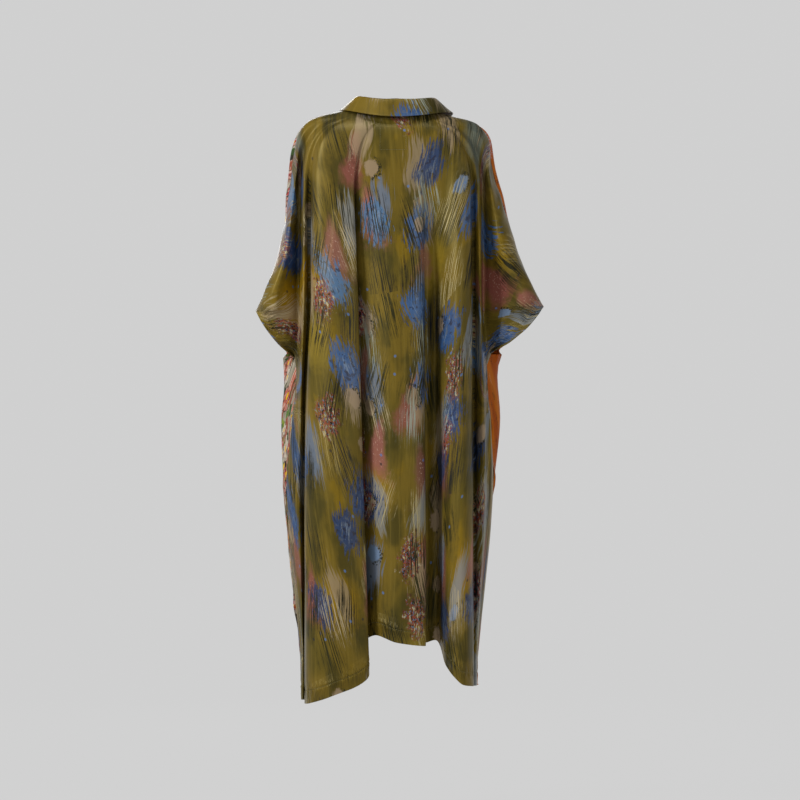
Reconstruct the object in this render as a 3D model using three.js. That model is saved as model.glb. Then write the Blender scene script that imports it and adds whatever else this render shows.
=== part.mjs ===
// A shirt-collared kaftan, filled out as if worn, with no wearer.
// Millimetres, +Z up. The front faces -Y and the wearer's left is +X.
// The origin lies between the neck points of the shoulders, where the wearer carries it.
import * as THREE from 'three';

// Cloth and seams
const WALL = 1.6;
const SEAM_GAP = 0.36;
const NECK_GAP = 0.7;

// Grid of each panel: sections down the garment and columns from fold to fold
const YOKE_SECTIONS = 13;
const CUFF_SECTIONS = 6;
const SKIRT_SECTIONS = 12;
const COLUMNS_PER_FOLD = 2;

// Sleeve ends: the cuff is a slanted oval from the tip down to the underarm, which sags halfway
const CUFF_HALF_DEPTH = 58;
const LEFT_CUFF_SAG = 8;
const RIGHT_CUFF_SAG = 11.5;
const SAG_OUT = 0.65;
const SAG_DOWN = 0.76;

// Neck opening: a slit in the centre front that closes into a seam
const SLIT_HALF_WIDTH = 15;
const SLIT_END_Z = -300;

// Where the folds grow out of the smooth yoke, in rows of the YOKE table
const LAST_SMOOTH_ROW = 0.6;
const FIRST_FOLDED_ROW = 5;
const YOKE_ROUNDNESS = 2.3;
const YOKE_RISE = 2.2;
const WIDEST_FOLD = 0.985;
const LEAST_SPREAD = 0.035;

// Sections of the yoke and sleeves. The end heights run along the shoulder and sleeve-top seams,
// the others are the height and depth of the section at the centre back and centre front.
const YOKE = [
  { leftZ: 12, rightZ: 8, backZ: -4, backY: 64, frontZ: -70, frontY: -78 },
  { leftZ: 3, rightZ: -6, backZ: -22, backY: 76, frontZ: -90, frontY: -88 },
  { leftZ: -10, rightZ: -17, backZ: -46, backY: 87, frontZ: -114, frontY: -98 },
  { leftZ: -43, rightZ: -46, backZ: -84, backY: 98, frontZ: -145, frontY: -108 },
  { leftZ: -90, rightZ: -92, backZ: -130, backY: 105, frontZ: -178, frontY: -116 },
  { leftZ: -150, rightZ: -150, backZ: -176, backY: 110, frontZ: -212, frontY: -120 },
  { leftZ: -220, rightZ: -218, backZ: -230, backY: 112, frontZ: -250, frontY: -122 },
  { leftZ: -310, rightZ: -304, backZ: -307, backY: 112, frontZ: -307, frontY: -122 },
  { leftZ: -416, rightZ: -406, backZ: -411, backY: 112, frontZ: -411, frontY: -122 },
];

// Shoulder and sleeve-top seams, then the side seams, as width and depth at each height
const LEFT_SHOULDER = {
  z: [12, 3, -10, -23, -43, -82, -147, -212, -254, -307, -359, -403, -416],
  x: [80, 123, 164, 182, 199, 214, 223, 231, 239, 251, 267, 289, 295],
  y: [6, 7, 8, 8, 8, 7, 6, 6, 6, 6, 6, 6, 6],
};
const RIGHT_SHOULDER = {
  z: [8, -6, -17, -31, -46, -65, -103, -151, -212, -233, -300, -372, -406],
  x: [-80, -115, -153, -172, -187, -195, -202, -213, -232, -239, -260, -290, -311],
  y: [6, 7, 8, 8, 8, 8, 7, 6, 6, 6, 6, 6, 6],
};
const LEFT_SIDE = {
  z: [-516, -622, -733, -804, -855, -937, -1044, -1128, -1239],
  x: [210, 214, 219, 232, 226, 217, 209, 198, 194],
  y: [4, 18, 20, 14, 12, 10, 8, 6, 4],
};
const RIGHT_SIDE = {
  z: [-507, -628, -701, -756, -819, -871, -937, -991, -1058, -1202],
  x: [-192, -195, -197, -206, -196, -189, -183, -177, -171, -168],
  y: [4, 16, 18, 14, 12, 12, 10, 8, 6, 4],
};

// Fold lines down each panel. Every x and y is given at LEVELS, and hem is the fold's height at
// the hem. share places a fold on the sleeve, as its part of the way from the cuff to the armhole.
const LEVELS = [-120, -300, -410, -515, -650, -800, -1150];
const BACK_FOLDS = [
  { fold: 'left sleeve, outer', share: 0.2, hem: -1238,
    x: [214, 243, 279, 213, 218, 229, 199], y: [26, 40, 42, 20, 32, 27, 18] },
  { fold: 'left sleeve', share: 0.6, hem: -1237,
    x: [208, 230, 254, 212, 213, 221, 198], y: [44, 60, 60, 34, 42, 40, 32] },
  { fold: 'left armhole valley', hem: -1234,
    x: [202, 205, 207, 205, 207, 212, 196], y: [32, 26, 26, 42, 50, 50, 42] },
  { fold: 'left narrow ridge', hem: -1230,
    x: [192, 192, 193, 196, 200, 203, 194], y: [64, 75, 76, 70, 60, 56, 50] },
  { fold: 'left side valley', hem: -1227,
    x: [182, 181, 181, 186, 190, 192, 191], y: [66, 54, 50, 48, 46, 44, 46] },
  { fold: 'left lobe, outer side', hem: -1228,
    x: [168, 172, 173, 180, 185, 187, 186], y: [84, 95, 99, 100, 103, 105, 108] },
  { fold: 'left lobe, crest', hem: -1216,
    x: [128, 130, 132, 134, 136, 136, 134], y: [94, 114, 124, 129, 135, 138, 142] },
  { fold: 'left lobe, edge', hem: -1181,
    x: [88, 83, 79, 76, 72, 68, 58], y: [92, 106, 112, 114, 116, 118, 122] },
  { fold: 'left lobe, tuck', hem: -1112,
    x: [88, 90, 88, 85, 82, 79, 68], y: [84, 82, 79, 77, 75, 74, 74] },
  { fold: 'centre lobe, left side', hem: -1094,
    x: [66, 62, 58, 55, 52, 50, 42], y: [90, 91, 93, 95, 97, 98, 98] },
  { fold: 'centre lobe, crest', hem: -1108,
    x: [8, 5, 5, 8, 8, 8, 0], y: [94, 106, 112, 114, 116, 118, 120] },
  { fold: 'centre lobe, right side', hem: -1116,
    x: [-50, -55, -56, -56, -57, -58, -59], y: [88, 97, 100, 101, 104, 106, 108] },
  { fold: 'centre lobe, tuck', hem: -1112,
    x: [-60, -63, -63, -62, -61, -61, -63], y: [84, 80, 76, 70, 65, 62, 62] },
  { fold: 'centre valley', hem: -1107,
    x: [-76, -80, -82, -83, -84, -84, -85], y: [82, 64, 57, 52, 50, 48, 48] },
  { fold: 'right lobe, left side', hem: -1160,
    x: [-97, -101, -101, -102, -103, -104, -106], y: [84, 87, 91, 95, 97, 99, 100] },
  { fold: 'right lobe, crest', hem: -1194,
    x: [-128, -130, -131, -132, -134, -136, -136], y: [88, 106, 114, 118, 122, 124, 124] },
  { fold: 'right lobe, edge', hem: -1200,
    x: [-152, -155, -156, -157, -158, -159, -160], y: [80, 92, 94, 96, 98, 100, 98] },
  { fold: 'right tuck', hem: -1201,
    x: [-160, -162, -162, -163, -163, -164, -164], y: [64, 60, 58, 60, 62, 64, 68] },
  { fold: 'right narrow ridge', hem: -1201,
    x: [-171, -175, -177, -179, -182, -184, -167], y: [66, 76, 80, 80, 78, 74, 62] },
  { fold: 'right armhole valley', hem: -1202,
    x: [-181, -186, -187, -189, -191, -193, -169], y: [36, 28, 26, 42, 50, 50, 44] },
  { fold: 'right sleeve', share: 0.6, hem: -1202,
    x: [-192, -228, -264, -193, -198, -200, -170], y: [44, 60, 60, 34, 40, 40, 30] },
  { fold: 'right sleeve, outer', share: 0.2, hem: -1202,
    x: [-199, -252, -292, -195, -200, -204, -171], y: [26, 40, 42, 20, 28, 26, 16] },
];
const LEFT_FRONT_FOLDS = [
  { fold: 'side', share: 0.25, hem: -1236,
    x: [214, 243, 279, 238, 241, 237, 199], y: [-24, -34, -38, -24, -14, -18, -8] },
  { fold: 'sleeve', share: 0.66, hem: -1228,
    x: [208, 230, 256, 230, 231, 222, 194], y: [-40, -60, -60, -58, -58, -56, -40] },
  { fold: 'armhole valley', hem: -1214,
    x: [202, 205, 207, 206, 206, 203, 186], y: [-42, -27, -27, -55, -64, -66, -58] },
  { fold: 'side ridge', hem: -1192,
    x: [187, 187, 187, 187, 186, 184, 172], y: [-78, -82, -84, -86, -90, -94, -90] },
  { fold: 'side valley', hem: -1164,
    x: [164, 160, 158, 158, 156, 154, 144], y: [-95, -90, -86, -84, -82, -82, -80] },
  { fold: 'lobe', hem: -1136,
    x: [130, 128, 126, 126, 125, 123, 117], y: [-108, -124, -129, -132, -135, -138, -140] },
  { fold: 'centre valley', hem: -1100,
    x: [92, 88, 86, 85, 84, 82, 79], y: [-112, -104, -97, -93, -90, -88, -86] },
  { fold: 'centre lobe', hem: -1080,
    x: [52, 49, 47, 46, 45, 44, 43], y: [-116, -127, -131, -134, -137, -140, -142] },
];
const RIGHT_FRONT_FOLDS = [
  { fold: 'side', share: 0.25, hem: -1202,
    x: [-199, -252, -292, -219, -220, -204, -172], y: [-24, -34, -38, -24, -14, -18, -8] },
  { fold: 'sleeve', share: 0.66, hem: -1198,
    x: [-192, -228, -266, -211, -210, -196, -168], y: [-40, -60, -60, -57, -58, -54, -38] },
  { fold: 'armhole valley', hem: -1190,
    x: [-184, -188, -191, -190, -190, -183, -162], y: [-42, -27, -27, -54, -64, -64, -56] },
  { fold: 'side ridge', hem: -1174,
    x: [-170, -172, -173, -173, -172, -168, -150], y: [-76, -81, -84, -87, -91, -94, -90] },
  { fold: 'side valley', hem: -1148,
    x: [-150, -147, -146, -145, -144, -141, -128], y: [-94, -89, -85, -82, -80, -80, -78] },
  { fold: 'lobe', hem: -1118,
    x: [-118, -114, -113, -112, -111, -109, -102], y: [-108, -123, -128, -131, -134, -137, -138] },
  { fold: 'centre valley', hem: -1092,
    x: [-84, -79, -77, -76, -75, -74, -70], y: [-112, -105, -98, -95, -92, -90, -88] },
  { fold: 'centre lobe', hem: -1078,
    x: [-48, -45, -43, -42, -42, -41, -39], y: [-116, -127, -131, -134, -136, -138, -140] },
];
const CENTRE_FRONT = { z: LEVELS, y: [-116, -121, -121, -120, -119, -118, -116], hem: -1075 };

// Collar sections from the centre back to the front end: way round, stand height, and how far
// out and down the fall reaches from the fold.
const COLLAR_WALL = 2;
const FOLD_RADIUS = 4;
const COLLAR_SECTIONS = [
  { way: 0, stand: 31, out: 21, down: 38 },
  { way: 0.3, stand: 25, out: 29, down: 32 },
  { way: 0.5, stand: 17, out: 43, down: 23 },
  { way: 0.62, stand: 19, out: 42, down: 22 },
  { way: 0.8, stand: 20, out: 32, down: 42 },
  { way: 1, stand: 20, out: 30, down: 62 },
];

// Colours of the cloths
const OLIVE = 0x6f6b2c;
const FLORAL = 0xa8604a;
const ORANGE = 0xb9591c;

// Smooth value of a table column at a place along another column, held at both ends
function smoothAt(places, values, place) {
  const last = places.length - 1;
  const way = Math.sign(places[last] - places[0]);
  if ((place - places[0]) * way <= 0) {
    return values[0];
  }
  if ((place - places[last]) * way >= 0) {
    return values[last];
  }
  let i = 0;
  while ((place - places[i + 1]) * way > 0) {
    i += 1;
  }
  const slope = (k) => {
    const before = Math.max(k - 1, 0);
    const after = Math.min(k + 1, last);
    return (values[after] - values[before]) / (places[after] - places[before]);
  };
  const step = places[i + 1] - places[i];
  const u = (place - places[i]) / step;
  const rise = u * u * (3 - 2 * u);
  const leave = u * (1 - u) * (1 - u) * step;
  const arrive = u * u * (u - 1) * step;
  return values[i] + (values[i + 1] - values[i]) * rise + slope(i) * leave + slope(i + 1) * arrive;
}

function columnAt(table, key, place) {
  return smoothAt(table.map((row, i) => i), table.map((row) => row[key]), place);
}

const mix = (a, b, t) => a + (b - a) * t;
const easeIn = (t) => {
  const u = Math.min(Math.max(t, 0), 1);
  return u * u * (3 - 2 * u);
};

// All sections from the neck to the hem
function sectionList() {
  const list = [];
  const lastYoke = YOKE.length - 1;
  for (let i = 0; i <= YOKE_SECTIONS; i += 1) {
    list.push({ part: 'yoke', along: (i / YOKE_SECTIONS) * lastYoke });
  }
  for (let i = 1; i < CUFF_SECTIONS; i += 1) {
    list.push({ part: 'cuff', along: i / CUFF_SECTIONS });
  }
  for (let i = 0; i <= SKIRT_SECTIONS; i += 1) {
    list.push({ part: 'skirt', along: i / SKIRT_SECTIONS });
  }
  return list;
}

function seamPoint(seam, z) {
  return new THREE.Vector3(smoothAt(seam.z, seam.x, z), smoothAt(seam.z, seam.y, z), z);
}

// The two ends of a section: at the seams, or at the cuffs' back and front edges
function sectionEnds(section) {
  const sides = [
    { shoulder: LEFT_SHOULDER, side: LEFT_SIDE, key: 'leftZ', sag: LEFT_CUFF_SAG },
    { shoulder: RIGHT_SHOULDER, side: RIGHT_SIDE, key: 'rightZ', sag: RIGHT_CUFF_SAG },
  ];
  return sides.map(({ shoulder, side, key, sag }) => {
    if (section.part === 'yoke') {
      const z = columnAt(YOKE, key, section.along);
      const seam = seamPoint(shoulder, z);
      return { back: seam, front: seam.clone() };
    }
    if (section.part === 'cuff') {
      const turn = Math.PI * section.along;
      const way = (1 - Math.cos(turn)) / 2;
      const sunk = sag * Math.sin(Math.PI * way);
      const x = mix(shoulder.x.at(-1), side.x[0], way) + Math.sign(side.x[0]) * SAG_OUT * sunk;
      const z = mix(shoulder.z.at(-1), side.z[0], way) - SAG_DOWN * sunk;
      const y = mix(shoulder.y.at(-1), side.y[0], way);
      const depth = CUFF_HALF_DEPTH * Math.sin(turn);
      return { back: new THREE.Vector3(x, y + depth, z), front: new THREE.Vector3(x, y - depth, z) };
    }
    const z = mix(side.z[0], side.z.at(-1), section.along);
    const seam = seamPoint(side, z);
    return { back: seam, front: seam.clone() };
  });
}

// Height of a section's middle, without the drop of its hem
function middleHeight(section, key) {
  if (section.part === 'yoke') {
    return columnAt(YOKE, key, section.along);
  }
  const start = (LEFT_SHOULDER.z.at(-1) + RIGHT_SHOULDER.z.at(-1)) / 2;
  const end = (LEFT_SIDE.z[0] + RIGHT_SIDE.z[0]) / 2;
  return section.part === 'cuff' ? mix(start, end, (1 - Math.cos(Math.PI * section.along)) / 2) : end;
}

// How far the folds have grown at a section, from 0 on the smooth yoke to 1
function foldedShare({ part, along }) {
  return part === 'yoke' ? easeIn((along - LAST_SMOOTH_ROW) / (FIRST_FOLDED_ROW - LAST_SMOOTH_ROW)) : 1;
}

// How far the sleeve reaches at the height of the second level, on the side that an end lies on
function sleeveReach(end) {
  const shoulder = end.x > 0 ? LEFT_SHOULDER : RIGHT_SHOULDER;
  return Math.abs(smoothAt(shoulder.z, shoulder.x, LEVELS[1]));
}

// Places of the folds across the smooth yoke, as signed parts of its half width, in order
function yokeWidths(folds) {
  const start = Math.sign(folds[0].x[1]);
  let last = WIDEST_FOLD + LEAST_SPREAD;
  return folds.map((row) => {
    const x = row.x[1] * start;
    const reach = sleeveReach({ x: row.x[1] });
    last = Math.min(x / reach, last - LEAST_SPREAD);
    return last * start;
  });
}

// Points of one section on its fold lines, from one end to the other
function foldPoints(section, folds, from, to, face) {
  const middle = middleHeight(section, `${face}Z`);
  const developed = foldedShare(section);
  const yokeRow = section.part === 'yoke' ? section.along : YOKE.length - 1;
  const yokeDepth = columnAt(YOKE, `${face}Y`, yokeRow);
  const cuffShare = section.part === 'cuff' ? Math.sin(Math.PI * section.along) ** 2 : 0;
  const widths = yokeWidths(folds);
  const place = (row, i) => {
    const end = Math.sign(row.x[1]) === Math.sign(from.x) ? from : to;
    const width = Math.abs(widths[i]);
    let z = mix(middle, end.z, width ** YOKE_RISE);
    if (section.part === 'skirt') {
      z = mix(z, row.hem, section.along);
    }
    const smooth = new THREE.Vector3(
      end.x * width,
      end.y + (yokeDepth - end.y) * (1 - width ** YOKE_ROUNDNESS) ** (1 / YOKE_ROUNDNESS),
      z,
    );
    const folded = new THREE.Vector3(smoothAt(LEVELS, row.x, z), smoothAt(LEVELS, row.y, z), z);
    return smooth.lerp(folded, developed);
  };
  const points = folds.map(place);
  folds.forEach((row, i) => {
    if (row.share && cuffShare > 0) {
      const end = Math.sign(row.x[1]) === Math.sign(from.x) ? from : to;
      const inward = folds[i + 1] && Math.abs(folds[i + 1].x[1]) < Math.abs(row.x[1]) ? 1 : -1;
      let valley = i;
      while (folds[valley].share) {
        valley += inward;
      }
      points[i].lerp(end.clone().lerp(points[valley], row.share), cuffShare);
    }
  });
  return points;
}

// The centre-front point of one front, on the slit's edge or on the seam
function centreFront(section, side) {
  let z = middleHeight(section, 'frontZ');
  const developed = foldedShare(section);
  if (section.part === 'skirt') {
    z = mix(z, CENTRE_FRONT.hem, section.along);
  }
  const open = Math.max((z - SLIT_END_Z) / (YOKE[0].frontZ - SLIT_END_Z), 0);
  const yokeDepth = columnAt(YOKE, 'frontY', section.part === 'yoke' ? section.along : YOKE.length - 1);
  const y = mix(yokeDepth, smoothAt(CENTRE_FRONT.z, CENTRE_FRONT.y, z), developed);
  return { point: new THREE.Vector3(side * SLIT_HALF_WIDTH * open, y, z), open: open > 0 };
}

const mirrored = (end, next) => end.clone().multiplyScalar(2).sub(next);

// A smooth line through fold points, with one more point at each end that only sets its direction
function smoothLine(before, points, after) {
  const curve = new THREE.CatmullRomCurve3([before, ...points, after], false, 'centripetal');
  const spans = points.length + 1;
  const line = [];
  for (let i = COLUMNS_PER_FOLD; i <= COLUMNS_PER_FOLD * (spans - 1); i += 1) {
    line.push(curve.getPoint(i / (COLUMNS_PER_FOLD * spans)));
  }
  return line;
}

// One section of the whole garment: the back from left to right, then the right and left fronts
function wholeSection(section) {
  const [left, right] = sectionEnds(section);
  const open = section.part === 'cuff';
  const back = foldPoints(section, BACK_FOLDS, left.back, right.back, 'back');
  const leftFolds = foldPoints(section, LEFT_FRONT_FOLDS, left.front, left.front, 'front');
  const rightFolds = foldPoints(section, RIGHT_FRONT_FOLDS, right.front, right.front, 'front');
  const leftCentre = centreFront(section, 1);
  const rightCentre = centreFront(section, -1);
  const backLine = [left.back, ...back, right.back];
  const rightLine = [right.front, ...rightFolds, rightCentre.point];
  const leftLine = [leftCentre.point, ...leftFolds.reverse(), left.front];
  const beyond = (own, other, apart) => (apart ? mirrored(own[0], own[1]) : other);
  return {
    cuffOpen: open,
    slitOpen: leftCentre.open,
    back: smoothLine(
      beyond(backLine, leftLine.at(-2), open),
      backLine,
      beyond([...backLine].reverse(), rightLine[1], open),
    ),
    rightFront: smoothLine(
      beyond(rightLine, backLine.at(-2), open),
      rightLine,
      beyond([...rightLine].reverse(), leftLine[1], leftCentre.open),
    ),
    leftFront: smoothLine(
      beyond(leftLine, rightLine.at(-2), leftCentre.open),
      leftLine,
      beyond([...leftLine].reverse(), backLine[1], open),
    ),
  };
}

// Direction out of the cloth at every point. Points that two panels share get the same direction.
function outwardDirections(sections, name) {
  const round = ['back', 'rightFront', 'leftFront'];
  const beforeName = round[(round.indexOf(name) + 2) % 3];
  const afterName = round[(round.indexOf(name) + 1) % 3];
  const joined = (section, other) => {
    const pair = [name, other].sort().join(' ');
    return pair === 'leftFront rightFront' ? !section.slitOpen : !section.cuffOpen;
  };
  return sections.map((section, i) => {
    const up = sections[Math.max(i - 1, 0)];
    const down = sections[Math.min(i + 1, sections.length - 1)];
    const line = section[name];
    const last = line.length - 1;
    return line.map((point, j) => {
      let previous = line[Math.max(j - 1, 0)];
      let next = line[Math.min(j + 1, last)];
      const fall = down[name][j].clone().sub(up[name][j]);
      if (j === 0 && joined(section, beforeName)) {
        previous = section[beforeName].at(-2);
        fall.add(down[beforeName].at(-1)).sub(up[beforeName].at(-1));
      }
      if (j === last && joined(section, afterName)) {
        next = section[afterName][1];
        fall.add(down[afterName][0]).sub(up[afterName][0]);
      }
      return fall.cross(next.clone().sub(previous)).normalize();
    });
  });
}

// A closed wall from a grid of outer points and a grid of inner points
function closedWall(outer, inner) {
  const rows = outer.length;
  const columns = outer[0].length;
  const positions = [...outer, ...inner].flat().flatMap((p) => [p.x, p.y, p.z]);
  const index = [];
  const out = (i, j) => i * columns + j;
  const back = (i, j) => rows * columns + i * columns + j;
  const quad = (a, b, c, d) => index.push(a, b, c, a, c, d);
  for (let i = 0; i < rows - 1; i += 1) {
    for (let j = 0; j < columns - 1; j += 1) {
      quad(out(i, j), out(i + 1, j), out(i + 1, j + 1), out(i, j + 1));
      quad(back(i, j), back(i, j + 1), back(i + 1, j + 1), back(i + 1, j));
    }
  }
  for (let j = 0; j < columns - 1; j += 1) {
    quad(out(0, j), out(0, j + 1), back(0, j + 1), back(0, j));
    quad(out(rows - 1, j), back(rows - 1, j), back(rows - 1, j + 1), out(rows - 1, j + 1));
  }
  for (let i = 0; i < rows - 1; i += 1) {
    quad(out(i, 0), back(i, 0), back(i + 1, 0), out(i + 1, 0));
    quad(out(i, columns - 1), out(i + 1, columns - 1), back(i + 1, columns - 1), back(i, columns - 1));
  }
  const geometry = new THREE.BufferGeometry();
  geometry.setAttribute('position', new THREE.Float32BufferAttribute(positions, 3));
  geometry.setIndex(index);
  geometry.computeVertexNormals();
  return geometry;
}

// One panel, drawn in by half the seam gap along both long edges
function panelGeometry(sections, name) {
  const directions = outwardDirections(sections, name);
  const outer = sections.map((section) => {
    const line = section[name].map((p) => p.clone());
    const last = line.length - 1;
    const draw = (end, neighbour) => end.add(neighbour.clone().sub(end).setLength(SEAM_GAP / 2));
    draw(line[0], line[1]);
    draw(line[last], line[last - 1]);
    return line;
  });
  const sunk = (p, direction) => p.clone().addScaledVector(direction, -WALL);
  return closedWall(outer, outer.map((line, i) => line.map((p, j) => sunk(p, directions[i][j]))));
}

// Middle line of the collar's section, as steps out and up from the neckline
function collarSection({ stand, out, down }) {
  const foldTop = stand;
  return [
    [0, 0],
    [0.4, stand * 0.5],
    [1, stand - FOLD_RADIUS],
    [1 + FOLD_RADIUS * 0.3, foldTop - FOLD_RADIUS * 0.3],
    [1 + FOLD_RADIUS, foldTop],
    [1 + FOLD_RADIUS * 1.8, foldTop - FOLD_RADIUS * 0.4],
    [1 + FOLD_RADIUS * 2.2 + (out - FOLD_RADIUS * 3) * 0.45, foldTop - down * 0.45],
    [out, foldTop - down],
  ];
}

// The collar: a stand on the neckline and a fall folded over it, in one wall
function collarGeometry(neck) {
  const neckline = [...neck.leftFront, ...neck.back.slice(1), ...neck.rightFront.slice(1)];
  const last = neckline.length - 1;
  const lengths = [0];
  for (let i = 1; i <= last; i += 1) {
    lengths.push(lengths[i - 1] + neckline[i].distanceTo(neckline[i - 1]));
  }
  const ways = COLLAR_SECTIONS.map((row) => row.way);
  const outer = [];
  const inner = [];
  for (let i = 1; i < last; i += 1) {
    const foot = neckline[i];
    const along = neckline[i + 1].clone().sub(neckline[i - 1]);
    const away = new THREE.Vector3(along.y, -along.x, 0).normalize();
    const way = Math.abs(2 * lengths[i] / lengths[last] - 1);
    const size = (key) => smoothAt(ways, COLLAR_SECTIONS.map((row) => row[key]), way);
    const middle = collarSection({ stand: size('stand'), out: size('out'), down: size('down') });
    const offset = (side) => middle.map(([reach, rise], k) => {
      const before = middle[Math.max(k - 1, 0)];
      const after = middle[Math.min(k + 1, middle.length - 1)];
      const across = side * COLLAR_WALL / 2 / Math.hypot(after[0] - before[0], after[1] - before[1]);
      const outward = reach - (after[1] - before[1]) * across - WALL / 2;
      const upward = NECK_GAP + (k === 0 ? 0 : rise + (after[0] - before[0]) * across);
      return foot.clone().addScaledVector(away, outward).add(new THREE.Vector3(0, 0, upward));
    });
    outer.push(offset(-1));
    inner.push(offset(1));
  }
  return closedWall(outer, inner);
}

function cloth(name, geometry, color) {
  const satin = new THREE.MeshStandardMaterial({ color, roughness: 0.5, metalness: 0 });
  const mesh = new THREE.Mesh(geometry, satin);
  mesh.name = name;
  return mesh;
}

const sections = sectionList().map(wholeSection);
const kaftan = new THREE.Group();
kaftan.add(cloth('back', panelGeometry(sections, 'back'), OLIVE));
kaftan.add(cloth('left_front', panelGeometry(sections, 'leftFront'), FLORAL));
kaftan.add(cloth('right_front', panelGeometry(sections, 'rightFront'), ORANGE));
kaftan.add(cloth('collar', collarGeometry(sections[0]), OLIVE));

export default kaftan;
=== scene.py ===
"""A shirt-collared kaftan of printed satin, filled out as if worn, with its stitching, on a pale sweep."""
import math

import bpy
import numpy as np
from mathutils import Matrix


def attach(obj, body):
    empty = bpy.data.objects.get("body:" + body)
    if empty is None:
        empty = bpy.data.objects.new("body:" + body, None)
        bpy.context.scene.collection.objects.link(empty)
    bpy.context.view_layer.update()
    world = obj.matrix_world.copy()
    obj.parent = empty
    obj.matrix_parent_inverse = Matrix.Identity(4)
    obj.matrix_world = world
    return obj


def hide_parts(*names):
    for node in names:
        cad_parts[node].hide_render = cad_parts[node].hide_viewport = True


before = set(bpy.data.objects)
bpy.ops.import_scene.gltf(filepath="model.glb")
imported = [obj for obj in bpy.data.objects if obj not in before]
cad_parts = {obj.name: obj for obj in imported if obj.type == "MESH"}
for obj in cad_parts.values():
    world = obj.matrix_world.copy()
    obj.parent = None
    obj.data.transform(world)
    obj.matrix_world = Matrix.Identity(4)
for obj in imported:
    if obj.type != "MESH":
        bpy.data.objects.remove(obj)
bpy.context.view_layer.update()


def table(columns, *rows):
    """Rows of values, each with its column's name."""
    return [dict(zip(columns, row)) for row in rows]


# Sizes are in millimetres until a mesh is made
MM = 0.001

# Cloth
CLOTH = 0.8
SEAM_DRAW = 0.12
HEM_DEPTH = 27.0
CUFF_HEM = 20.0
HEM_SWELL = 1.1
HEM_STEP = 2.0
SEAM_SINK = 0.9
SEAM_SINK_WIDTH = 3.5
# The fronts roll a little way over the seams of the shoulders and the sides, and show behind them
ROLLS = (
    {"height": 7.0, "from_seam": 9.0, "width": 6.5, "top": -8, "bottom": -235},
    {"height": 5.5, "from_seam": 9.0, "width": 6.5, "top": -600, "bottom": -1130},
)
PUCKER_PITCH = 15.0
PUCKER_HEIGHT = 0.8
PUCKER_REACH = 10.0
# Reach of the finest gathers on each side of the stitching, which only the sheen shows
HEM_GATHERS = 13.0
CUFF_GATHERS = 12.0
STITCH_SINK = 1.1
STITCH_SINK_WIDTH = 1.9
# Fine ripples: their number, and ranges for their length across and along the cloth, lean and height
RIPPLES = {"count": 16, "across": (34, 95), "along": (380, 900), "lean": (-0.05, 0.05), "height": (0.15, 0.4)}
PHASES = (0, 6.3)
# The ripples grow out of the smooth yoke between these distances down the cloth
SMOOTH_TO = 40.0
FULL_RIPPLES_FROM = 200.0
# Stretches over which grooves and rolls die out, at the top and at the bottom
GROOVE_FADE = (120, 50)
ROLL_FADE = (30, 70)
# Creases wander from their straight line by this part of their width, through so many radians
CREASE_WANDER = 0.12
CREASE_TURNS = 7
# Farther from a cuff than any point that its hem moves
FAR = 1e3

# Grid of each panel: rows down the garment, closer at the hem, and columns from fold to fold
YOKE_ROWS = 72
CUFF_ROWS = 40
SKIRT_WAYS = (*np.linspace(0, 0.93, 54, endpoint=False), *np.linspace(0.93, 1, 27))
COLUMNS = {"back": 10, "left_front": 15, "right_front": 15}
COLUMN_CROWDING = 0.6
ROWS_ABOVE_CUFF = 12
CUFF_FOLDS = {"back": 4, "left_front": 3, "right_front": 3}
CUFF_ENDS = {"back": (0, -1), "left_front": (-1,), "right_front": (0,)}

# Sleeve ends: the cuff is a slanted oval from the tip down to the underarm, which sags halfway
CUFF_HALF_DEPTH = 58.0
CUFF_SAG = {1: 8.0, -1: 11.5}
SAG_OUT = 0.65
SAG_DOWN = 0.76

# Neck opening: a slit in the centre front that closes into a seam
SLIT_HALF_WIDTH = 15.0
SLIT_END_Z = -300.0

# Where the folds grow out of the smooth yoke, in rows of the YOKE table
LAST_SMOOTH_ROW = 0.6
FIRST_FOLDED_ROW = 5.0
YOKE_ROUNDNESS = 2.3
YOKE_RISE = 2.2
WIDEST_FOLD = 0.985
LEAST_SPREAD = 0.035

# Sections of the yoke and sleeves: heights along the shoulder and sleeve-top seams, then height
# and depth at the centre back and the centre front
YOKE = {
    "left_z": [12, 3, -10, -43, -90, -150, -220, -310, -416],
    "right_z": [8, -6, -17, -46, -92, -150, -218, -304, -406],
    "back_z": [-4, -22, -46, -84, -130, -176, -230, -307, -411],
    "back_y": [64, 76, 87, 98, 105, 110, 112, 112, 112],
    "front_z": [-70, -90, -114, -145, -178, -212, -250, -307, -411],
    "front_y": [-78, -88, -98, -108, -116, -120, -122, -122, -122],
}

# Shoulder and sleeve-top seams, then the side seams, as width and depth at each height
SHOULDERS = {
    1: {"z": [12, 3, -10, -23, -43, -82, -147, -212, -254, -307, -359, -403, -416],
        "x": [80, 123, 164, 182, 199, 214, 223, 231, 239, 251, 267, 289, 295],
        "y": [6, 7, 8, 8, 8, 7, 6, 6, 6, 6, 6, 6, 6]},
    -1: {"z": [8, -6, -17, -31, -46, -65, -103, -151, -212, -233, -300, -372, -406],
         "x": [-80, -115, -153, -172, -187, -195, -202, -213, -232, -239, -260, -290, -311],
         "y": [6, 7, 8, 8, 8, 8, 7, 6, 6, 6, 6, 6, 6]},
}
SIDES = {
    1: {"z": [-516, -622, -733, -804, -855, -937, -1044, -1128, -1224],
        "x": [210, 214, 219, 232, 226, 217, 209, 198, 194],
        "y": [4, 18, 20, 14, 12, 10, 8, 6, 4]},
    -1: {"z": [-507, -628, -701, -756, -819, -871, -937, -991, -1058, -1202],
         "x": [-192, -195, -197, -206, -196, -189, -183, -177, -171, -168],
         "y": [4, 16, 18, 14, 12, 12, 10, 8, 6, 4]},
}

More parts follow.
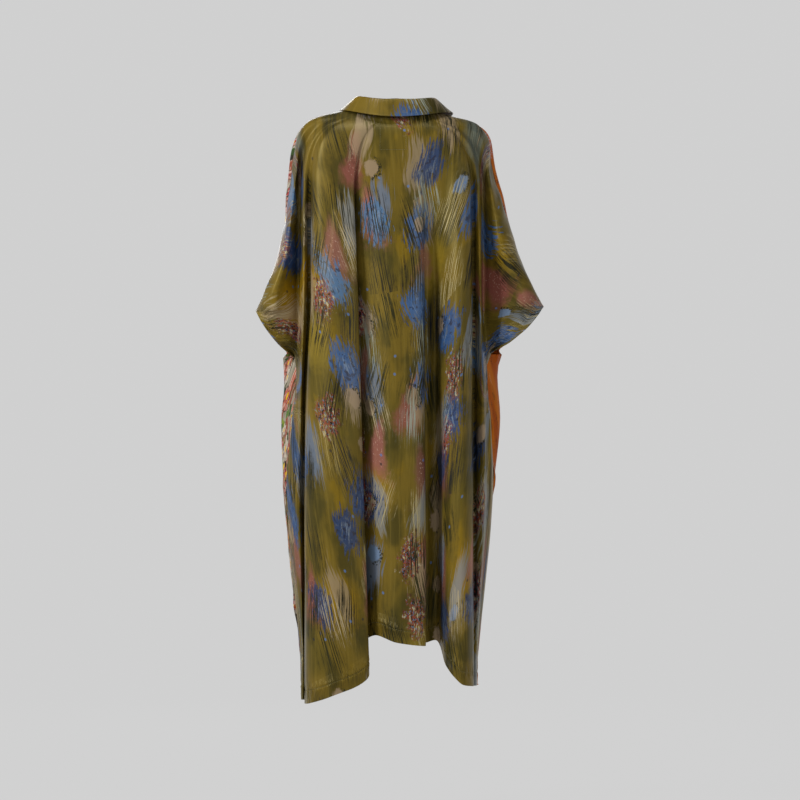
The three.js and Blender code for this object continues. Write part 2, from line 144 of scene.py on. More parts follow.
# Fold lines down each panel, at LEVELS. hem is the fold's height at the hem, and share places a
# fold on the sleeve, as its part of the way from the cuff to the armhole.
LEVELS = [-120, -300, -410, -515, -650, -800, -1150]
FOLD_COLUMNS = ("fold", "share", "hem", "x", "y")
BACK_FOLDS = table(
    FOLD_COLUMNS,
    ("left cuff", 0.2, -1224, [214, 243, 279, 213, 218, 229, 199], [26, 40, 42, 20, 32, 27, 18]),
    ("left sleeve", 0.6, -1225, [208, 230, 254, 212, 213, 221, 198], [44, 60, 60, 34, 42, 40, 32]),
    ("left armhole", 0, -1226, [202, 205, 207, 205, 207, 212, 196], [32, 26, 26, 42, 50, 50, 42]),
    ("left ridge", 0, -1229, [192, 192, 193, 196, 200, 203, 194], [64, 75, 76, 70, 60, 56, 50]),
    ("left side valley", 0, -1232, [182, 181, 181, 186, 190, 192, 191], [66, 54, 50, 48, 46, 44, 46]),
    ("left lobe, outside", 0, -1236, [168, 172, 173, 180, 185, 187, 186], [84, 95, 99, 100, 103, 105, 108]),
    ("left crest", 0, -1219, [128, 130, 132, 134, 136, 136, 134], [94, 114, 124, 129, 135, 138, 142]),
    ("left edge", 0, -1181, [88, 83, 79, 76, 72, 68, 58], [92, 106, 112, 114, 116, 118, 122]),
    ("left tuck", 0, -1112, [88, 90, 88, 85, 82, 79, 68], [84, 82, 79, 77, 75, 74, 74]),
    ("centre lobe, left", 0, -1094, [66, 62, 58, 55, 52, 50, 42], [90, 91, 93, 95, 97, 98, 98]),
    ("centre crest", 0, -1108, [8, 5, 5, 8, 8, 8, 0], [94, 106, 112, 114, 116, 118, 120]),
    ("centre lobe, right", 0, -1116, [-50, -55, -56, -56, -57, -58, -59], [88, 97, 100, 101, 104, 106, 108]),
    ("centre tuck", 0, -1112, [-60, -63, -63, -62, -61, -61, -63], [84, 80, 76, 70, 65, 62, 62]),
    ("centre valley", 0, -1107, [-76, -80, -82, -83, -84, -84, -85], [82, 64, 57, 52, 50, 48, 48]),
    ("right lobe, left", 0, -1160, [-97, -101, -101, -102, -103, -104, -106], [84, 87, 91, 95, 97, 99, 100]),
    ("right crest", 0, -1194, [-128, -130, -131, -132, -134, -136, -136], [88, 106, 114, 118, 122, 124, 124]),
    ("right edge", 0, -1200, [-152, -155, -156, -157, -158, -159, -160], [80, 92, 94, 96, 98, 100, 98]),
    ("right tuck", 0, -1201, [-160, -162, -162, -163, -163, -164, -164], [64, 60, 58, 60, 62, 64, 68]),
    ("right ridge", 0, -1201, [-171, -175, -177, -179, -182, -184, -167], [66, 76, 80, 80, 78, 74, 62]),
    ("right armhole", 0, -1202, [-181, -186, -187, -189, -191, -193, -169], [36, 28, 26, 42, 50, 50, 44]),
    ("right sleeve", 0.6, -1202, [-192, -228, -264, -193, -198, -200, -170], [44, 60, 60, 34, 40, 40, 30]),
    ("right cuff", 0.2, -1202, [-199, -252, -292, -195, -200, -204, -171], [26, 40, 42, 20, 28, 26, 16]),
)
LEFT_FRONT_FOLDS = table(
    FOLD_COLUMNS,
    ("side", 0.25, -1222, [214, 243, 279, 238, 241, 237, 199], [-24, -34, -38, -24, -14, -18, -8]),
    ("sleeve", 0.66, -1219, [208, 230, 256, 230, 231, 222, 194], [-40, -60, -60, -58, -58, -56, -40]),
    ("armhole", 0, -1214, [202, 205, 207, 206, 206, 203, 186], [-42, -27, -27, -55, -64, -66, -58]),
    ("side ridge", 0, -1192, [187, 187, 187, 187, 186, 184, 172], [-78, -82, -84, -86, -90, -94, -90]),
    ("valley", 0, -1164, [164, 160, 158, 158, 156, 154, 144], [-95, -90, -86, -84, -82, -82, -80]),
    ("lobe", 0, -1136, [130, 128, 126, 126, 125, 123, 117], [-108, -124, -129, -132, -135, -138, -140]),
    ("centre valley", 0, -1100, [92, 88, 86, 85, 84, 82, 79], [-112, -104, -97, -93, -90, -88, -86]),
    ("centre lobe", 0, -1080, [52, 49, 47, 46, 45, 44, 43], [-116, -127, -131, -134, -137, -140, -142]),
)
RIGHT_FRONT_FOLDS = table(
    FOLD_COLUMNS,
    ("side", 0.25, -1202, [-199, -252, -292, -219, -220, -204, -172], [-24, -34, -38, -24, -14, -18, -8]),
    ("sleeve", 0.66, -1198, [-192, -228, -266, -211, -210, -196, -168], [-40, -60, -60, -57, -58, -54, -38]),
    ("armhole", 0, -1190, [-184, -188, -191, -190, -190, -183, -162], [-42, -27, -27, -54, -64, -64, -56]),
    ("side ridge", 0, -1174, [-170, -172, -173, -173, -172, -168, -150], [-76, -81, -84, -87, -91, -94, -90]),
    ("valley", 0, -1148, [-150, -147, -146, -145, -144, -141, -128], [-94, -89, -85, -82, -80, -80, -78]),
    ("lobe", 0, -1118, [-118, -114, -113, -112, -111, -109, -102], [-108, -123, -128, -131, -134, -137, -138]),
    ("centre valley", 0, -1092, [-84, -79, -77, -76, -75, -74, -70], [-112, -105, -98, -95, -92, -90, -88]),
    ("centre lobe", 0, -1078, [-48, -45, -43, -42, -42, -41, -39], [-116, -127, -131, -134, -136, -138, -140]),
)
CENTRE_FRONT = {"y": [-116, -121, -121, -120, -119, -118, -116], "hem": -1075}

# Grooves where the cloth turns under at a fold: between two heights, with half width and depth
GROOVE_COLUMNS = ("fold", "top", "bottom", "width", "depth")
GROOVES = table(
    GROOVE_COLUMNS,
    ("left armhole", -50, -500, 4.0, 7.0),
    ("left side valley", -90, -1290, 3.6, 8.0),
    ("left tuck", -100, -1290, 4.0, 7.0),
    ("centre tuck", -230, -1290, 4.0, 8.0),
    ("right tuck", -90, -1290, 3.6, 8.0),
    ("right armhole", -60, -470, 4.0, 7.0),
)

# Soft creases laid over the folds: from one point to another, half width, and height (- is a trough)
CREASE_COLUMNS = ("x1", "z1", "x2", "z2", "width", "height")
BACK_CREASES = table(
    CREASE_COLUMNS,
    (112, -60, 150, -330, 9, -1.6),
    (136, -120, 118, -520, 8, 1.3),
    (60, -70, 84, -260, 8, -1.8),
    (30, -90, 40, -420, 10, 1.4),
    (-14, -110, -22, -560, 9, -1.5),
    (-40, -70, -57, -330, 8, -1.7),
    (-92, -70, -128, -310, 10, -1.8),
    (-120, -60, -150, -240, 8, 1.4),
    (196, -60, 226, -300, 7, -1.8),
    (214, -200, 262, -398, 8, 2.0),
    (216, -300, 246, -440, 7, -2.0),
    (210, -400, 236, -470, 6, 1.8),
    (-192, -60, -224, -260, 7, -1.8),
    (-200, -230, -270, -400, 8, 2.0),
    (-196, -330, -262, -425, 7, -2.2),
    (-194, -420, -236, -455, 6, 1.8),
    (150, -420, 158, -900, 8, -1.5),
    (112, -560, 100, -1060, 10, 1.8),
    (140, -840, 146, -1190, 9, -2.0),
    (28, -540, 34, -980, 9, -1.7),
    (-22, -640, -18, -1080, 10, 1.7),
    (14, -860, 10, -1090, 8, -1.8),
    (-118, -500, -124, -960, 7, -1.6),
    (-146, -700, -146, -1160, 8, 1.7),
    (-128, -960, -134, -1180, 8, -1.8),
    (205, -560, 212, -840, 6, -1.6),
    (-195, -600, -198, -800, 5, -1.5),
    (222, -770, 200, -830, 9, 2.4),
    (-200, -740, -178, -800, 9, -2.2),
)
FRONT_CREASES = table(
    CREASE_COLUMNS,
    (100, -70, 140, -300, 9, -1.7),
    (60, -120, 66, -420, 9, 1.4),
    (30, -140, 26, -520, 8, -1.5),
    (196, -60, 226, -300, 7, -1.8),
    (214, -210, 268, -400, 8, 2.0),
    (214, -320, 250, -440, 7, -2.0),
    (140, -420, 144, -900, 8, -1.5),
    (108, -560, 100, -1040, 9, 1.7),
    (60, -600, 56, -1040, 9, -1.6),
    (24, -700, 22, -1060, 7, 1.5),
    (176, -600, 170, -1100, 7, 1.6),
    (228, -540, 232, -760, 8, -1.6),
    (238, -770, 208, -830, 9, 2.2),
    (130, -900, 126, -1120, 8, -1.9),
)

# Collar: way round from the centre back, stand height, reach of the fall out and down
COLLAR = {
    "way": [0, 0.3, 0.5, 0.62, 0.8, 1],
    "stand": [31, 25, 17, 19, 20, 20],
    "out": [21, 29, 43, 42, 32, 30],
    "down": [38, 32, 23, 22, 42, 62],
}
COLLAR_CLOTH = 1.5
COLLAR_STEPS = 6
COLLAR_WAVE = {"height": 0.7, "per_radian": 37, "start": 0.6}
EDGE_SWELL = 0.25
COLLAR_FOLD = 4.0
NECK_GAP = 0.7

# Stitching
STITCH_PITCH = 3.4
STITCH_LENGTH = 2.5
THREAD_RADIUS = 0.28
THREAD_LIFT = 0.4 * THREAD_RADIUS
LABEL_STITCHES = {"left": 33, "right": -21, "top": -14, "bottom": -80}
LABEL_POINTS = 24

# The print turns past each armhole, because the sleeves are cut in one with the body and hang down
SLEEVE_TURNS = {"back": math.radians(55), "left_front": 0.0, "right_front": 0.0}
ARMHOLES = {1: 206, -1: 187}
TURN_HEIGHTS = {"top": -25, "bottom": -640, "above": 130, "below": 90}
TURN_CENTRE_Z = -330
TURN_START = 22
TURN_WIDTH = 26


# Numbers and lines


def smooth_at(places, values, place):
    """Smooth value of a table column at a place along another column, held at both ends."""
    way = 1.0 if places[-1] > places[0] else -1.0
    p = np.asarray(places, float) * way
    v = np.asarray(values, float)
    at = np.clip(np.asarray(place, float) * way, p[0], p[-1])
    i = np.clip(np.searchsorted(p, at, side="right") - 1, 0, len(p) - 2)
    slopes = np.empty_like(v)
    slopes[1:-1] = (v[2:] - v[:-2]) / (p[2:] - p[:-2])
    slopes[0] = (v[1] - v[0]) / (p[1] - p[0])
    slopes[-1] = (v[-1] - v[-2]) / (p[-1] - p[-2])
    step = p[i + 1] - p[i]
    u = (at - p[i]) / step
    rise = u * u * (3 - 2 * u)
    leave = u * (1 - u) ** 2 * step * slopes[i]
    arrive = u * u * (u - 1) * step * slopes[i + 1]
    return v[i] + (v[i + 1] - v[i]) * rise + leave + arrive


def column_at(table, key, place):
    return float(smooth_at(range(len(table[key])), table[key], place))


def mix(a, b, t):
    return a + (b - a) * t


def ease(t):
    u = np.clip(t, 0, 1)
    return u * u * (3 - 2 * u)


def between(z, top, bottom, above, below):
    """1 between two heights, easing in over one stretch from the top and over another from the bottom."""
    return ease((top - z) / above) * ease((z - bottom) / below)


def unit(v):
    return v / np.maximum(np.linalg.norm(v, axis=-1, keepdims=True), 1e-9)


def run_along(line):
    return np.concatenate([[0], np.cumsum(np.linalg.norm(np.diff(line, axis=0), axis=1))])


def smooth_line(points, steps):
    """A centripetal curve through all points but the first and last, which only set its direction."""
    p = np.asarray(points, float)
    knots = np.linalg.norm(np.diff(p, axis=0), axis=1) ** 0.5
    even = np.arange(steps) / steps
    t = (even - COLUMN_CROWDING * np.sin(2 * math.pi * even) / (2 * math.pi))[:, None]
    lines = []
    for i in range(1, len(p) - 2):
        before, own, after = np.maximum(knots[i - 1:i + 2], 1e-4)
        start, end = p[i], p[i + 1]
        leave = ((start - p[i - 1]) / before - (end - p[i - 1]) / (before + own) + (end - start) / own) * own
        arrive = ((end - start) / own - (p[i + 2] - start) / (own + after) + (p[i + 2] - end) / after) * own
        lines.append(
            start * (1 + 2 * t) * (1 - t) ** 2 + leave * t * (1 - t) ** 2
            + end * t * t * (3 - 2 * t) + arrive * t * t * (t - 1)
        )
    lines.append(p[-2:-1])
    return np.vstack(lines)


# The garment's sections, as in the pattern that the solids are cut from


def section_list():
    yoke = [("yoke", i / YOKE_ROWS * (len(YOKE["left_z"]) - 1)) for i in range(YOKE_ROWS + 1)]
    cuff = [("cuff", i / CUFF_ROWS) for i in range(1, CUFF_ROWS)]
    skirt = [("skirt", way) for way in SKIRT_WAYS]
    return yoke + cuff + skirt


def seam_point(seam, z):
    return np.array([smooth_at(seam["z"], seam["x"], z), smooth_at(seam["z"], seam["y"], z), z])


def section_ends(part, along):
    """Back and front end of a section on each side: on the seams, or on the cuffs' edges."""
    ends = {}
    for side, key in ((1, "left_z"), (-1, "right_z")):
        shoulder, seam = SHOULDERS[side], SIDES[side]
        depth = 0.0
        if part == "yoke":
            point = seam_point(shoulder, column_at(YOKE, key, along))
        elif part == "skirt":
            point = seam_point(seam, mix(seam["z"][0], seam["z"][-1], along))
        else:
            way = (1 - math.cos(math.pi * along)) / 2
            sag = CUFF_SAG[side] * math.sin(math.pi * way)
            x = mix(shoulder["x"][-1], seam["x"][0], way) + side * SAG_OUT * sag
            z = mix(shoulder["z"][-1], seam["z"][0], way) - SAG_DOWN * sag
            point = np.array([x, mix(shoulder["y"][-1], seam["y"][0], way), z])
            depth = CUFF_HALF_DEPTH * math.sin(math.pi * along)
        ends[side] = {"back": point + [0, depth, 0], "front": point - [0, depth, 0]}
    return ends


def middle_height(part, along, key):
    """Height of a section at the centre back or the centre front."""
    if part == "yoke":
        return column_at(YOKE, key, along)
    start = (SHOULDERS[1]["z"][-1] + SHOULDERS[-1]["z"][-1]) / 2
    end = (SIDES[1]["z"][0] + SIDES[-1]["z"][0]) / 2
    return mix(start, end, (1 - math.cos(math.pi * along)) / 2) if part == "cuff" else end


def folded_share(part, along):
    """How far the folds have grown out of the smooth yoke, from 0 to 1."""
    if part != "yoke":
        return 1.0
    return float(ease((along - LAST_SMOOTH_ROW) / (FIRST_FOLDED_ROW - LAST_SMOOTH_ROW)))


def sleeve_reach(side):
    """Half width of the garment at the second of the folds' levels."""
    return abs(float(smooth_at(SHOULDERS[side]["z"], SHOULDERS[side]["x"], LEVELS[1])))


def yoke_widths(folds):
    """Places of the folds across the smooth yoke, as signed parts of its half width, in order."""
    start = math.copysign(1, folds[0]["x"][1])
    last = WIDEST_FOLD + LEAST_SPREAD
    widths = []
    for row in folds:
        x = row["x"][1]
        last = min(x * start / sleeve_reach(int(math.copysign(1, x))), last - LEAST_SPREAD)
        widths.append(last * start)
    return widths


def fold_points(part, along, folds, ends, face):
    """Where a section meets each fold line, between its two ends."""
    middle = middle_height(part, along, face + "_z")
    developed = folded_share(part, along)
    depth = column_at(YOKE, face + "_y", along) if part == "yoke" else YOKE[face + "_y"][-1]
    on_cuff = math.sin(math.pi * along) ** 2 if part == "cuff" else 0
    points = []
    for row, width in zip(folds, yoke_widths(folds)):
        end = ends[int(math.copysign(1, row["x"][1]))][face]
        w = abs(width)
        z = mix(middle, end[2], w ** YOKE_RISE)
        if part == "skirt":
            z = mix(z, row["hem"], along)
        bow = (1 - w ** YOKE_ROUNDNESS) ** (1 / YOKE_ROUNDNESS)
        smooth = np.array([end[0] * w, mix(end[1], depth, bow), z])
        folded = np.array([smooth_at(LEVELS, row["x"], z), smooth_at(LEVELS, row["y"], z), z])
        points.append(mix(smooth, folded, developed))
    for i, row in enumerate(folds):
        if row["share"] and on_cuff:
            end = ends[int(math.copysign(1, row["x"][1]))][face]
            inward = 1 if i + 1 < len(folds) and abs(folds[i + 1]["x"][1]) < abs(row["x"][1]) else -1
            valley = i
            while folds[valley]["share"]:
                valley += inward
            points[i] = mix(points[i], mix(end, points[valley], row["share"]), on_cuff)
    return points


def centre_front(part, along, side):
    """The edge of a front at the centre, and whether the neck slit is open there."""
    z = middle_height(part, along, "front_z")
    if part == "skirt":
        z = mix(z, CENTRE_FRONT["hem"], along)
    opening = max((z - SLIT_END_Z) / (YOKE["front_z"][0] - SLIT_END_Z), 0)
    depth = column_at(YOKE, "front_y", along) if part == "yoke" else YOKE["front_y"][-1]
    y = mix(depth, float(smooth_at(LEVELS, CENTRE_FRONT["y"], z)), folded_share(part, along))
    return np.array([side * SLIT_HALF_WIDTH * opening, y, z]), opening > 0


def whole_section(part, along):
    """The back from left to right, the right front to the centre, and the left front from it."""
    ends = section_ends(part, along)
    left, right = ends[1], ends[-1]
    centre_left, slit_open = centre_front(part, along, 1)
    centre_right = centre_front(part, along, -1)[0]
    back = [left["back"], *fold_points(part, along, BACK_FOLDS, ends, "back"), right["back"]]
    right_front = [right["front"], *fold_points(part, along, RIGHT_FRONT_FOLDS, ends, "front"), centre_right]
    left_folds = fold_points(part, along, LEFT_FRONT_FOLDS, ends, "front")
    left_front = [centre_left, *left_folds[::-1], left["front"]]
    cuff_open = part == "cuff"

    def line(name, own, before, after, open_before, open_after):
        first = 2 * own[0] - own[1] if open_before else before
        last = 2 * own[-1] - own[-2] if open_after else after
        return smooth_line([first, *own, last], COLUMNS[name])

    return {
        "back": line("back", back, left_front[-2], right_front[1], cuff_open, cuff_open),
        "right_front": line("right_front", right_front, back[-2], left_front[1], cuff_open, slit_open),
        "left_front": line("left_front", left_front, right_front[-2], back[1], slit_open, cuff_open),
    }


# Creases, hems and thickness


def normals_of(grid):
    across = np.empty_like(grid)
    across[:, 1:-1] = grid[:, 2:] - grid[:, :-2]
    across[:, 0] = grid[:, 1] - grid[:, 0]
    across[:, -1] = grid[:, -1] - grid[:, -2]
    down = np.empty_like(grid)
    down[1:-1] = grid[2:] - grid[:-2]
    down[0] = grid[1] - grid[0]
    down[-1] = grid[-1] - grid[-2]
    return unit(np.cross(down, across))


def arc_across(grid, zero):
    steps = np.linalg.norm(np.diff(grid, axis=1), axis=2)
    arc = np.hstack([np.zeros((len(grid), 1)), np.cumsum(steps, axis=1)])
    return arc - arc[:, zero:zero + 1]


def arc_down(grid):
    steps = np.linalg.norm(np.diff(grid, axis=0), axis=2)
    return np.vstack([np.zeros((1, grid.shape[1])), np.cumsum(steps, axis=0)])


def crease_height(grid, creases, mirror=1):
    """Troughs and ridges along straight stretches, dying out at both ends."""
    x, z = grid[..., 0] * mirror, grid[..., 2]
    height = np.zeros(x.shape)
    for row in creases:
        dx, dz = row["x2"] - row["x1"], row["z2"] - row["z1"]
        along = ((x - row["x1"]) * dx + (z - row["z1"]) * dz) / (dx * dx + dz * dz)
        bend = CREASE_WANDER * row["width"] * np.sin(along * CREASE_TURNS + row["x1"])
        aside = ((x - row["x1"]) * dz - (z - row["z1"]) * dx) / math.hypot(dx, dz) + bend
        fade = np.clip(along, 0, 1) * np.clip(1 - along, 0, 1) * 4
        height += row["height"] * np.exp(-(aside / row["width"]) ** 2) * fade ** 0.6
    return height


def groove_height(grid, arc):
    """Narrow troughs down the back's fold lines."""
    names = [row["fold"] for row in BACK_FOLDS]
    z = grid[..., 2]
    height = np.zeros(z.shape)
    for row in GROOVES:
        column = (names.index(row["fold"]) + 1) * COLUMNS["back"]
        apart = arc - arc[:, column:column + 1]
        fade = between(z, row["top"], row["bottom"], *GROOVE_FADE)
        height -= row["depth"] * np.exp(-(apart / row["width"]) ** 2) * fade
    return height


def roll_height(grid, arc, end):
    """Roll of a front along its shoulder seam and its side seam."""
    z = grid[:, end:end + 1, 2]
    apart = np.abs(arc - arc[:, end:end + 1])
    height = np.zeros(arc.shape)
    for roll in ROLLS:
        fade = between(z, roll["top"], roll["bottom"], *ROLL_FADE)
        height += roll["height"] * np.exp(-((apart - roll["from_seam"]) / roll["width"]) ** 2) * fade
    return height


def ripple_height(arc, down, seed):
    """Fine uneven waves of hung satin, long down the cloth and short across it."""
    rng = np.random.default_rng(seed)
    height = np.zeros(arc.shape)
    for _ in range(RIPPLES["count"]):
        across, along, lean = (rng.uniform(*RIPPLES[key]) for key in ("across", "along", "lean"))
        swell = 0.5 + 0.5 * np.sin(down / along * 2 * math.pi + rng.uniform(*PHASES))
        tallest = rng.uniform(*RIPPLES["height"])
        wave = np.sin((arc + lean * down) / across * 2 * math.pi + rng.uniform(*PHASES))
        height += tallest * swell * wave
    return height


def pucker_height(distance, line, arc, seed):
    """Little gathers that the thread draws into the cloth on both sides of a stitch line."""
    rng = np.random.default_rng(seed)
    wander = sum(
        rng.uniform(0.5, 1.5) * np.sin(arc / rng.uniform(40, 120) + rng.uniform(0, 6)) for _ in range(4))
    wave = np.sin(arc / PUCKER_PITCH * 2 * math.pi + wander)
    groove = -STITCH_SINK * np.exp(-((distance - line) / STITCH_SINK_WIDTH) ** 2)
    return PUCKER_HEIGHT * wave * np.exp(-((distance - line) / PUCKER_REACH) ** 2) + groove


def distances_from(edge, patch):
    """How far each point of a patch is from an edge, and how far along the edge its nearest point is."""
    distance = np.full(patch.shape[:2], FAR)
    along = np.zeros(patch.shape[:2])
    for run, point in zip(run_along(edge), edge):
        apart = np.linalg.norm(patch - point, axis=2)
        along = np.where(apart < distance, run, along)
        distance = np.minimum(apart, distance)
    return distance, along


def panel(name, sections, creases, mirror, zero, seed):
    """Grid of one panel with its creases, and its points' distances across, down and from the hems."""
    grid = np.array([section[name] for section in sections])
    arc = arc_across(grid, zero)
    down = arc_down(grid)
    to_hem = down[-1] - down
    rows, columns = grid.shape[:2]
    cuff_rows = slice(YOKE_ROWS, YOKE_ROWS + CUFF_ROWS + 1)
    height = crease_height(grid, creases, mirror)
    if name == "back":
        height += groove_height(grid, arc)
    height += ripple_height(arc, down, seed) * ease((down - SMOOTH_TO) / (FULL_RIPPLES_FROM - SMOOTH_TO))
    height += pucker_height(to_hem, HEM_DEPTH, arc, seed + 1)
    to_cuff = np.full((rows, columns), FAR)
    reach = CUFF_FOLDS[name] * COLUMNS[name] + 1
    cuff_ends = [end % columns for end in CUFF_ENDS[name]]
    for end in cuff_ends:
        near = slice(0, reach) if end == 0 else slice(columns - reach, columns)
        distance, along = distances_from(grid[cuff_rows, end], grid[:, near])
        distance[YOKE_ROWS + CUFF_ROWS + 1:] = FAR
        to_cuff[:, near] = np.minimum(to_cuff[:, near], distance)
        pucker = pucker_height(distance, CUFF_HEM, along, seed + 2)
        height[:, near] += np.where(distance < 3 * CUFF_HEM, pucker, 0)
    for end in (0, columns - 1):
        apart = np.abs(arc - arc[:, end:end + 1])
        sink = -SEAM_SINK * np.exp(-(apart / SEAM_SINK_WIDTH) ** 2)
        open_rows = np.zeros(rows, bool)
        if end in cuff_ends:
            open_rows[cuff_rows] = True
        height += np.where(open_rows[:, None], 0, sink)
    if name != "back":
        height += roll_height(grid, arc, cuff_ends[0])
    grid = grid + normals_of(grid) * height[..., None]
    for end, inward in ((0, 1), (columns - 1, -1)):
        grid[:, end] += unit(grid[:, end + inward] - grid[:, end]) * SEAM_DRAW
    return {"grid": grid, "arc": arc, "down": down, "to_hem": to_hem, "to_cuff": to_cuff}


def cloth_thickness(part):
    """Cloth, doubled where the hems are turned in."""
    at_hem = 1 - ease((part["to_hem"] - HEM_DEPTH) / HEM_STEP)
    at_cuff = 1 - ease((part["to_cuff"] - CUFF_HEM) / HEM_STEP)
    return CLOTH + HEM_SWELL * np.maximum(at_hem, at_cuff)


def shell_mesh(name, outer, inner, uv, near_hem, material):
    """A closed cloth wall from an outer and an inner grid, with cloth coordinates as its UV map."""
    rows, columns = outer.shape[:2]
    count = rows * columns
    index = np.arange(count).reshape(rows, columns)
    a, b, c, d = index[:-1, :-1], index[1:, :-1], index[1:, 1:], index[:-1, 1:]
    front = np.stack([a, b, c, d], -1).reshape(-1, 4)
    back = np.stack([a, d, c, b], -1).reshape(-1, 4) + count

    def wall(edge):
        p, q = edge[:-1], edge[1:]
        return np.stack([p, q, q + count, p + count], -1)

    rim = [wall(index[0]), wall(index[-1])[:, ::-1], wall(index[:, 0])[:, ::-1], wall(index[:, -1])]
    faces = np.vstack([front, back, *rim])
    points = np.vstack([outer.reshape(-1, 3), inner.reshape(-1, 3)]) * MM
    mesh = bpy.data.meshes.new(name)
    mesh.from_pydata(points.tolist(), [], faces.tolist())
    layer = mesh.uv_layers.new(name="cloth")
    cloth_uv = np.vstack([uv.reshape(-1, 2)] * 2) * MM
    layer.data.foreach_set("uv", cloth_uv[faces.reshape(-1)].astype(np.float32).reshape(-1))
    drawn = mesh.attributes.new("near_hem", "FLOAT", "POINT")
    drawn.data.foreach_set("value", np.tile(near_hem.reshape(-1), 2).astype(np.float32))
    mesh.polygons.foreach_set("use_smooth", np.ones(len(faces), bool))
    mesh.set_sharp_from_angle(angle=math.radians(60))
    mesh.materials.append(material)
    piece = bpy.data.objects.new(name, mesh)
    bpy.context.scene.collection.objects.link(piece)
    return piece


def cloth_coordinates(part, sleeve_turn):
    """Across and down the cloth in millimetres, turned on the sleeves as they are cut."""
    grid, arc, down = part["grid"], part["arc"], part["down"]
    x, z = grid[..., 0], grid[..., 2]
    u, v = arc.copy(), -down
    hung = between(z, **TURN_HEIGHTS)
    for side, armhole in ARMHOLES.items():
        past = ease((x * side - (armhole - TURN_START)) / TURN_WIDTH) * hung
        turn = sleeve_turn * past * side
        pivot_u = np.where(x * side > armhole, u, np.nan)
        centre = np.nanmean(pivot_u) if np.isfinite(pivot_u).any() else 0
        du, dv = u - centre, v - TURN_CENTRE_Z
        u = np.where(past > 0, centre + du * np.cos(turn) - dv * np.sin(turn), u)
        v = np.where(past > 0, TURN_CENTRE_Z + du * np.sin(turn) + dv * np.cos(turn), v)
    return np.stack([u, v], -1)


def dressed_panel(name, part, material):
    outer = part["grid"]
    inner = outer - normals_of(outer) * cloth_thickness(part)[..., None]
    near_hem = sum(
        np.exp(-((part[key] - line) / reach) ** 2)
        for key, line, reach in (("to_hem", HEM_DEPTH, HEM_GATHERS), ("to_cuff", CUFF_HEM, CUFF_GATHERS)))
    return shell_mesh("cloth_" + name, outer, inner, part["uv"], near_hem, material)


# Collar


def collar_section(stand, out, down):
    """The collar's middle line, as places out and up from the neckline: its stand, fold and fall."""
    fold = COLLAR_FOLD
    halfway = 1 + fold * 2.2 + (out - fold * 3) * 0.45
    knots = np.array([
        [0, 0], [0.4, stand * 0.5], [1, stand - fold],
        [1 + fold * 0.3, stand - fold * 0.3], [1 + fold, stand], [1 + fold * 1.8, stand - fold * 0.4],
        [halfway, stand - down * 0.45], [out, stand - down],
    ])
    return smooth_line([2 * knots[0] - knots[1], *knots, 2 * knots[-1] - knots[-2]], COLLAR_STEPS)


def collar_shell(neck, material):
    """Stand and fall of the collar in one wall, swept round the neckline."""
    length = run_along(neck)
    outer, inner, uv = [], [], []
    for i in range(1, len(neck) - 1):
        tangent = neck[i + 1] - neck[i - 1]
        away = unit(np.array([tangent[1], -tangent[0], 0]))
        way = abs(2 * length[i] / length[-1] - 1)
        size = {key: float(smooth_at(COLLAR["way"], COLLAR[key], way)) for key in ("stand", "out", "down")}
        line = collar_section(**size)
        heading = unit(np.gradient(line, axis=0))
        side = np.stack([-heading[:, 1], heading[:, 0]], -1)
        run = run_along(line)
        half = COLLAR_CLOTH / 2 + EDGE_SWELL * np.exp(-((run[-1] - run) / 2) ** 2)
        wave = math.sin(length[i] / COLLAR_WAVE["per_radian"] + COLLAR_WAVE["start"]) * (run / run[-1]) ** 2
        for rows, sign in ((outer, -1), (inner, 1)):
            spot = line + side * (half * sign)[:, None]
            reach = spot[:, 0] - CLOTH + COLLAR_WAVE["height"] * wave
            rise = spot[:, 1] + NECK_GAP
            rise[0] = max(rise[0], NECK_GAP)
            rows.append(neck[i] + away * reach[:, None] + np.array([0, 0, 1]) * rise[:, None])
        uv.append(np.stack([np.full(len(line), length[i] - length[-1] / 2), run], -1))
    outer, inner, uv = np.array(outer), np.array(inner), np.array(uv)
    outer, inner, uv = (g.transpose(1, 0, 2)[::-1] for g in (outer, inner, uv))
    return shell_mesh("cloth_collar", outer, inner, uv, np.zeros(outer.shape[:2]), material)


# Stitching


